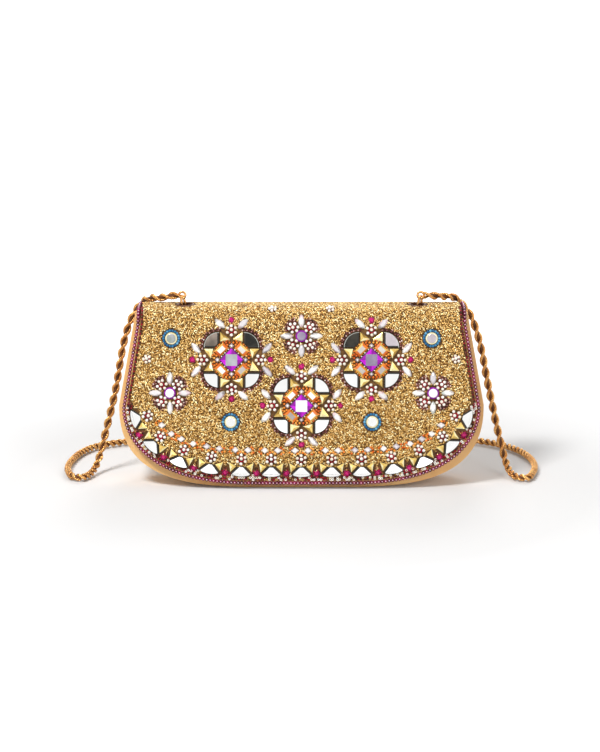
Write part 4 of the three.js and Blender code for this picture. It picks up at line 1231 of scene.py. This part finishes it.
# %% Marquises, rubies and lozenges
def marquise(length, width, steps=5):
    t = np.linspace(0, math.pi, steps + 1)[:-1]
    upper = np.stack([length / 2 * np.cos(t), width / 2 * np.sin(t) ** 1.45], 1)
    return np.vstack([upper, -upper])


def crowned(outline, rise, table, tones=(0,), foot_shade=None):
    """A brilliant's crown. Its facets take the given tones in turn, painted reflection and shade among them, look 0 is
    the table, and its foot may take a look of painted shade.
    """
    corners, faces, _ = levels(outline, [(0, 1.09), (rise * 0.3, 1.09), (rise * 0.32, 0.96),
                                         (rise * 0.75, (1 + table) / 2), (rise, table)], [0] * 5)
    count = len(outline)
    foot = tones[0] if foot_shade is None else foot_shade
    face_looks = [foot if i < 2 * count else tones[(i // 2 + i // count) % len(tones)] for i in range(len(faces))]
    face_looks[-2:] = [0, foot]
    return corners, faces, face_looks


# The dark foot of each marquise is painted shade where the stone meets the cloth.
stone_foot_painted_shade = grainy("stone_foot_with_painted_shade", (74, 58, 36), (120, 100, 66), 200, 0.5)
crystals, rubies, lozenges = Batch(), Batch(), Batch()
petals = [crowned(marquise(length * mm, 4.5 * mm), 1.9 * mm, 0.5, tones, 3)
          for length, tones in ((9.6, (0, 1, 0, 2)), (9.2, (0, 0, 2)), (9.4, (1, 0, 0)), (9.0, (0, 2, 1)))]
# Each ruby's facets alternate between hot pink and painted shade.
gem = crowned(polygon(1.9 * mm, 8), 1.7 * mm, 0.5, (0, 1))
for m, q, x, z, turn in quarters(medallions):
    lay(rubies, gem, *around(x, z, turn, 0, ruby_up), turn)
    for side in (-1, 1):
        petal = petals[(m + q + side) % 4]
        lay(crystals, petal, *around(x, z, turn, side * petal_across, petal_up), turn + side * petal_turn)
star_petals = [crowned(marquise(9.2 * mm, 4.5 * mm), 1.9 * mm, 0.5, tones, 3)
               for tones in ((0, 1), (2, 0), (1, 0, 2), (0,))]
for m, q, x, z, turn in quarters(stars):
    lay(crystals, star_petals[(q + m) % 4], *around(x, z, turn, star_reach, 0), turn)
for x, z, turn in ruby_places:
    lay(rubies, gem, x, z, turn)
lozenge = crowned(marquise(5.0 * mm, 4.0 * mm, 2), 1.6 * mm, 0.65)
for x, z in lozenge_places:
    lay(lozenges, lozenge, x, z)
crystals.piece("marquise_crystals", [crystal, crystal_painted_grey_reflection, crystal_painted_tinted_reflection, stone_foot_painted_shade])
rubies.piece("pink_rubies", [ruby, ruby_painted_shade])
lozenges.piece("white_lozenges", [crystal])

# %% Star centres
star_stones = Batch()
# The stars' tables are painted reflections, grey-mauve on the first and white on the others.
for (x, z), tone in zip(stars, (2, 1, 1)):
    lay(star_stones, levels(polygon(4.0 * mm, 16), [(0, 1), (1.2 * mm, 1), (1.7 * mm, 0.9)], [0] * 3), x, z)
    lay(star_stones, levels(polygon(3.2 * mm, 12), [(1.2 * mm, 1), (2.0 * mm, 0.95), (2.4 * mm, 0.8)], [tone] * 3),
        x, z)
star_stones.piece("star_centres", [deep_purple_and_painted_shade, table_painted_white_reflection, table_painted_mauve_reflection])

# %% [markdown]
# ## Pearls and seed beads
# Small round beads fill in between the stones: clusters of pearls about a garnet ring, turquoise rings, and
# chains of brown, tan and orange seed beads. Larger seed beads lie flat in places and show their holes.

# %% Pearl clusters and seed beads
pearls, garnets, turquoises, browns, mauves, oranges, tans = (Batch() for _ in range(7))
seed_pitch, row_share = 1.5 * mm, 0.98
pearl_ball, top_pearl = ball(1.08 * mm), ball(1.15 * mm)
seed, tiny_seed, orange_seed = ball(0.66 * mm, 8, 5), ball(0.54 * mm, 7, 4), ball(0.82 * mm, 8, 5)


def flat_ring(radius, wire, height, steps):
    corners, faces = oval_ring(radius, radius, wire, steps, 6)
    return corners + (0, 0, height), faces, [0] * len(faces)


ring_bead = flat_ring(0.62 * mm, 0.32 * mm, 0.5 * mm, 10)
garnet_ring = flat_ring(1.65 * mm, 0.42 * mm, 0.9 * mm, 18)


def cluster(x, z, turn, reach, petals=6):
    """A floret: pearls round a garnet ring with one pearl in it."""
    lay(garnets, garnet_ring, x, z)
    lay(pearls, top_pearl, *around(x, z, turn, 0, 0.5 * mm), 0, 0.2 * mm)
    for k in range(petals):
        angle = turn + math.pi / 2 + k * 2 * math.pi / petals + dice.uniform(-0.12, 0.12)
        away = reach + dice.uniform(-0.15, 0.15) * mm
        lay(pearls, pearl_ball, x + away * math.cos(angle), z + away * math.sin(angle))


def bead_arc(batches, bead, x, z, radius, start, end, pitch, lift=0.0):
    """Beads along an arc about a place, of each kind in turn."""
    count = max(1, round((end - start) * radius / pitch))
    for i, angle in enumerate(np.linspace(start, end, count + 1)):
        lay(batches[i % len(batches)], bead, x + radius * math.cos(angle), z + radius * math.sin(angle), 0, lift)


for _, _, x, z, turn in quarters(medallions):
    cluster(*around(x, z, turn, 0, medallion_cluster_up), turn, 3.1 * mm)
    fan_middle = around(x, z, turn, fan_centre, fan_centre)
    for batches, gap, spread, pitch in (([browns, mauves], 0.9, 0.1, 1.55), ([mauves, browns, tans], 2.3, 0.05, 1.6)):
        bead_arc(batches, seed, *fan_middle, fan_outer + gap * mm, turn - spread, turn + math.pi / 2 + spread,
                 pitch * mm)
    middle = turn + math.pi / 4
    bead_arc([tans, oranges], seed, x, z, bead_circle, middle - 0.66, middle + 0.66, seed_pitch, 0.2 * mm)
    for side in (-1, 1):
        for angle, reach in ((0.27, 10.5), (0.11, 11.8), (0.31, 12.1)):
            spot = (-side * reach * math.sin(angle) * mm, reach * math.cos(angle) * mm)
            lay(oranges, orange_seed, *around(x, z, turn, *spot), 0, 0.4 * mm)
    for k in range(7):
        spot = around(x, z, turn, (8.4 - k * 1.2) * mm * row_share, (0.9 + k * 1.2) * mm * row_share)
        lay(pearls if k % 2 else tans, tiny_seed, *spot, 0, 1.0 * mm)
for _, _, x, z, turn in quarters(stars):
    cluster(*around(x, z, turn, star_cluster_out, star_cluster_out), turn - math.pi / 4, 3.0 * mm)
    middle = turn + math.pi / 4
    for radius, spread, batches, bead in ((11.3, 0.44, [browns, mauves], seed), (12.7, 0.4, [mauves, browns], seed),
                                          (9.9, 0.4, [garnets], tiny_seed)):
        bead_arc(batches, bead, x, z, radius * mm, middle - spread, middle + spread, seed_pitch)
for x, z in florets:
    cluster(x, z, 0.3, 2.2 * mm, 5)
for x, z, turn in cluster_places:
    cluster(x, z, turn, 3.0 * mm)
turquoise_ball = ball(1.02 * mm, 8, 5)
for x, z in round_mirrors:
    bead_arc([turquoises], turquoise_ball, x, z, 5.25 * mm, 0, 2 * math.pi * 17 / 18, 1.83 * mm)
print("medallion, star and mirror beads laid")

# %% [markdown]
# The border's small beads follow each leaf: orange ones beside the lozenges, garnets round the rubies, and five
# crowded rows of brown, garnet and white ones between the leaves and the hem, as far as there is room.

# %% Border beads
orange_spots = [(6.4, 17.4), (7.8, 16.6), (8.3, 14.3), (2.5, 13.3), (0.8, 14.4), (6.8, 13.3)]
for number, leaf in enumerate(leaf_places[1:-1]):
    for side in (-1, 1):
        for across, up in orange_spots:
            shift = dice.uniform(-0.3, 0.3, 2)
            lay(oranges, orange_seed, *above_leaf(leaf, side * (across + shift[0]) * mm, (up + shift[1]) * mm))
for x, z, turn in ruby_places:
    bead_arc([garnets, browns], tiny_seed, x, z, 2.45 * mm, 0, 2 * math.pi * 9 / 10, seed_pitch)
    for across, up in ((-0.7, 3.4), (0.7, 3.4), (0, 4.6), (-0.4, 5.8), (0.6, 6.8)):
        lay(tans if up > 4 else browns, tiny_seed, *around(x, z, turn, across * mm, up * mm))


def border_clear(x, z):
    """True where a border bead touches neither a leaf, nor what stands above it, nor a ruby."""
    bead = 0.35 * mm
    for leaf_x, leaf_z, turn in leaf_places:
        across, up = around(0, 0, -turn, x - leaf_x, z - leaf_z)
        bow = max(0, 1 - (across / (leaf_half + bead)) ** 2) ** 0.5
        edge = leaf_tip - bead - (leaf_outer + leaf_tip) * bow if bow else leaf_tip + 0.3 * mm
        if abs(across) < 11 * mm and up > edge:
            return False
    return all((x - ruby_x) ** 2 + (z - ruby_z) ** 2 > (2.4 * mm) ** 2 for ruby_x, ruby_z, _ in ruby_places)


white_rings, tan_rings = Batch(), Batch()
half_run = half_stations[-1] + 12 * mm
row_beads = [(garnets, seed), (browns, seed), (tans, seed), (white_rings, ring_bead), (tan_rings, ring_bead)]
row_pitch = 1.6 * mm
for inset, chances in ((0.65, (0.3, 0.3, 0.05, 0.3, 0.05)), (2.0, (0.2, 0.35, 0.05, 0.3, 0.1)),
                       (3.3, (0.15, 0.4, 0.05, 0.3, 0.1)), (4.5, (0.05, 0.6, 0.1, 0.15, 0.1)),
                       (5.6, (0.05, 0.7, 0.1, 0.1, 0.05))):
    for distance in np.arange(-half_run, half_run, row_pitch):
        x, z, turn = border_place(distance + dice.uniform(-0.15, 0.15) * mm, (inset + dice.uniform(-0.1, 0.1)) * mm)
        if border_clear(x, z):
            batch, bead = row_beads[dice.choice(5, p=chances)]
            lay(batch, bead, x, z, turn)

# Dark seeds line the straight sides, between the gold ground and the piping; their dark tone is partly their own and
# partly painted shade beside the piping.
side_line = np.vstack([flap_half(0.9 * mm), (flap_top - 0.9 * mm, face_top_z + fold_length * 0.8)])
side_places, _, _ = even_line(raised(side_line, 0), row_pitch)
for number, (x, z, _) in enumerate(side_places):
    if z > leaf_places[-1][1] + 8 * mm:
        for side in (-1, 1):
            lay(browns if number % 2 else garnets, seed, side * x, z)

for batch, name, tone in ((pearls, "pearls", pearl), (garnets, "garnet_seeds", garnet),
                          (turquoises, "turquoise_seeds", turquoise), (browns, "brown_seeds", brown_beads),
                          (mauves, "mauve_seeds", mauve_beads),
                          (oranges, "orange_seeds", orange_beads), (tans, "tan_seeds", tan_beads),
                          (white_rings, "white_ring_beads", pearl), (tan_rings, "tan_ring_beads", tan_beads)):
    batch.piece(name, [tone], smooth=True)

# %% [markdown]
# ## Magenta piping
# A string of magenta beads is sewn round the flap's free edge and on over the ends of the root strip. Each
# bead is a slightly flattened ball, threaded on the line that the imported piping follows, and a small pale bead
# sits on each as a painted highlight.

# %% Thread the piping
piping_radius = 1.35 * mm
piping_depth = cloth_thick - piping_radius
bead_spacing = 2.4 * mm
highlight_dot_radius = 0.42 * mm


def threaded(name, line_at, body, node):
    """Magenta beads along the line at a depth, each with a small pale bead outwards on it as a painted highlight."""
    places, along, _, outer = even_line(line_at(piping_depth), bead_spacing, line_at(piping_depth - 1 * mm))
    corners, faces, _ = ball(piping_radius, 10, 8)
    corners = corners - (0, 0, piping_radius)
    corners[:, 2] *= 0.92
    # Each pale dot is a painted highlight on its bead.
    dot_corners, dot_faces, _ = ball(highlight_dot_radius, 8, 5)
    beads = Batch()
    for spot, direction, out in zip(places, along, outer):
        turn = Vector(direction).to_track_quat("Z", "Y").to_matrix()
        beads.add(corners @ np.array(turn).T + spot, faces)
        dot_spot = spot + unit(out - spot) * (piping_radius - 0.15 * mm)
        beads.add(dot_corners - (0, 0, highlight_dot_radius) + dot_spot, dot_faces, 1)
    beads.piece(name, [magenta, piping_highlight_dots], body, "piping_beads", [node], smooth=True)


def flap_edge(depth):
    out = piping_radius + seat
    fold = [(s, flap_top + out) for s in np.linspace(out, fold_length, 9)[:-1]]
    rows = fold + [(s_at(z), x) for x, z in flap_half(-out)[::-1]]
    right = np.array([flap_surface(x, s, -depth) for s, x in rows])
    return np.vstack([right, right[-2::-1] * (-1, 1, 1)])


def root_side(side):
    def line_at(depth):
        line = root_line(depth)
        line[0, 0] += seat
        return np.column_stack([np.full(len(line), side * (flap_top + piping_radius + seat)), line])
    return line_at


threaded("flap_piping_beads", flap_edge, "flap", "flap_piping")
for side, node in ((-1, "root_piping_left"), (1, "root_piping_right")):
    threaded(f"{node}_beads", root_side(side), "bag", node)

# %% [markdown]
# ## Fittings
# Each eyelet is a rolled rim of dark bronze, partly painted shade of its hole, and a jump ring stands over it
# with a long link down into the bag. These are turned or bent wire on the real bag, so a turned profile and an
# oval of wire make them.

# %% Turned and wire fittings
def turned(name, profile, spot, finishes, looks, segments=48):
    """A closed profile of radius and height, turned about an upright axis. Each step of it has its own look."""
    corners = np.vstack([raised(polygon(radius, segments), height) for radius, height in profile])
    count = len(profile)
    faces = [(i * segments + j, i * segments + (j + 1) % segments,
              (i + 1) % count * segments + (j + 1) % segments, (i + 1) % count * segments + j)
             for i in range(count) for j in range(segments)]
    face_looks = [looks[i] for i in range(count) for j in range(segments)]
    return new_piece(name, corners + np.array(spot), faces, finishes, "bag", face_looks)


def wire_link(name, radius, wire, straight, middle, long_axis, wide_axis):
    """A ring of wire pulled out by a straight length along its long axis."""
    ring, faces = oval_ring(radius, radius, wire, 40, 12)
    ring[:, 0] += np.sign(ring[:, 0]) * straight / 2
    long_axis, wide_axis = np.array(long_axis, float), np.array(wide_axis, float)
    basis = np.stack([long_axis, wide_axis, np.cross(long_axis, wide_axis)])
    return new_piece(name, ring @ basis + np.array(middle), faces, [fitting_gold], "bag")


ring_lean = 2.2 * mm
ring_z = 128.4 * mm
ring_radius, ring_wire = 2.2 * mm, 0.85 * mm
link_radius, link_bar = 1.2 * mm, 0.9 * mm
link_top, link_bottom, anchor_z = 127.7 * mm, 111.4 * mm, 110 * mm
rim_outer, rim_rise = 6.2 * mm, 0.6 * mm
rim_middle, rim_half = (eyelet_bore + rim_outer) / 2, (rim_outer - eyelet_bore) / 2
wall, top = eyelet_bore + 0.5 * mm, bag_height + seat
profile = [(eyelet_bore, top - 3 * mm), (wall, top - 3 * mm), (wall, top - 0.2 * mm),
           (eyelet_flange, top - 0.2 * mm), (eyelet_flange, top)]
profile += [(rim_middle + rim_half * math.cos(t), top + rim_rise * math.sin(t)) for t in np.linspace(0, math.pi, 13)]
# The bore, the flange and the hidden sides take the chain core's painted shade; the rolled rim takes the bronze with
# painted shade.
looks = [1] * 5 + [0] * 12 + [1]
for label, side in (("left", -1), ("right", 1)):
    x = side * eyelet_x
    link_run = unit(np.array((side * ring_lean, 0, link_top - link_bottom)))
    link_side = np.array((0.85, 0.5, 0))
    link_side = unit(link_side - link_run * link_side.dot(link_run))
    fittings = {
        f"eyelet_{label}": turned(f"eyelet_rim_{label}", profile, (x, eyelet_y, 0), [eyelet_bronze_painted_shade, chain_shadow], looks),
        f"jump_ring_{label}": wire_link(f"jump_ring_wire_{label}", ring_radius, ring_wire, 0,
                                        (x + side * ring_lean, eyelet_y, ring_z), (1, 0, 0), (0, 0, 1)),
        f"end_link_{label}": wire_link(f"end_link_wire_{label}", link_radius, link_bar,
                                       link_top - link_bottom - 2 * link_radius,
                                       (x + side * ring_lean / 2, eyelet_y, (link_top + link_bottom) / 2), link_run,
                                       link_side),
        f"anchor_ring_{label}": wire_link(f"anchor_ring_wire_{label}", 3 * mm, 0.8 * mm, 7 * mm,
                                          (x, eyelet_y, anchor_z), (1, 0, 0), (0, 0, 1)),
    }
    for node, piece in fittings.items():
        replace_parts(piece, node)
print("fittings made")

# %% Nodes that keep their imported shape
def dress(node, finish, bevel=0.0):
    """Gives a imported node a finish, and rounds its edges where that shows."""
    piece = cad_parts[node]
    piece.data.materials.clear()
    piece.data.materials.append(finish)
    piece.data.polygons.foreach_set("use_smooth", np.full(len(piece.data.polygons), bool(bevel)))
    if bevel:
        soften(piece, bevel, 2)
    return piece


dress("lining", twill, 0.3 * mm)
for node in ("snap_socket", "snap_stud"):
    dress(node, fitting_gold, 0.15 * mm)
for label in ("left", "right"):
    dress(f"anchor_tab_{label}", leather, 0.3 * mm)
    dress(f"eyelet_washer_{label}", fitting_gold, 0.1 * mm)
    dress(f"anchor_rivet_{label}", fitting_gold, 0.15 * mm)
print("packed nodes dressed")

# %% [markdown]
# ## Floor and light
# The bag stands on plain white paper under soft light. Colours should come out as written, so the room gives an
# even, dim light and three soft lamps add the rest. Rays from the camera and mirrors see plain white instead of
# the dimmer room. Paper that glows a little for the camera stays white, and still shows the bag's shadow.

# %% White paper floor
def camera_and_mirror_rays(tree):
    """A factor of one for rays from the camera, from mirrors and through glass, and of zero for all others."""
    path = add_node(tree, "LightPath")
    factor = path.outputs["Is Camera Ray"]
    for ray in ("Is Glossy Ray", "Is Transmission Ray"):
        factor = add_node(tree, "Math", factor, path.outputs[ray], operation="MAXIMUM").outputs[0]
    return factor


def make_paper():
    mesh = bpy.data.meshes.new("paper_floor")
    mesh.from_pydata(raised(oblong(12, 12), -0.0001).tolist(), [], [(0, 1, 2, 3)])
    floor = add_object("paper_floor", mesh)
    paper = new_finish("white_paper", 0.9, Base_Color=(0.8, 0.8, 0.8, 1), Specular_IOR_Level=0.1)
    tree = paper.node_tree
    distance = add_node(tree, "VectorMath", add_node(tree, "TexCoord").outputs["Object"], operation="LENGTH")
    spread = add_node(tree, "MapRange", distance.outputs["Value"], From_Min=0.2, From_Max=0.8, To_Min=0.02, To_Max=1.0)
    share = add_node(tree, "Math", spread.outputs["Result"], camera_and_mirror_rays(tree), operation="MULTIPLY")
    glow = add_node(tree, "Emission", Strength=share.outputs[0])
    both = add_node(tree, "AddShader", tree.nodes["Principled BSDF"].outputs[0], glow.outputs[0])
    tree.links.new(both.outputs[0], tree.nodes["Material Output"].inputs["Surface"])
    mesh.materials.append(paper)
    print("paper floor laid")


make_paper()

# %% Room light and lamps
world = bpy.data.worlds.new("white_room")
bpy.context.scene.world = world
world.use_nodes = True
room = world.node_tree
room_level = add_node(room, "MapRange", camera_and_mirror_rays(room), To_Min=0.34, To_Max=1.0)
room.links.new(room_level.outputs["Result"], room.nodes["Background"].inputs["Strength"])
room.nodes["Background"].inputs["Color"].default_value = (1, 1, 1, 1)


def softbox(name, spot, size, power):
    """A square lamp that shines at the bag's middle."""
    lamp = bpy.data.lights.new(name, "AREA")
    lamp.shape = "SQUARE"
    lamp.size = size
    lamp.energy = power
    holder = add_object(name, lamp)
    holder.location = spot
    holder.rotation_euler = (Vector((0, 0, 0.06)) - Vector(spot)).to_track_quat("-Z", "Y").to_euler()


softbox("key_softbox", (-0.6, -0.8, 1.3), 0.35, 20)
softbox("fill_softbox", (0.9, -1.1, 0.7), 0.6, 5)
softbox("back_softbox", (0.2, 1.1, 1.0), 0.6, 6)
bpy.context.scene.view_settings.view_transform = "Standard"
print("paper, room and three softboxes")
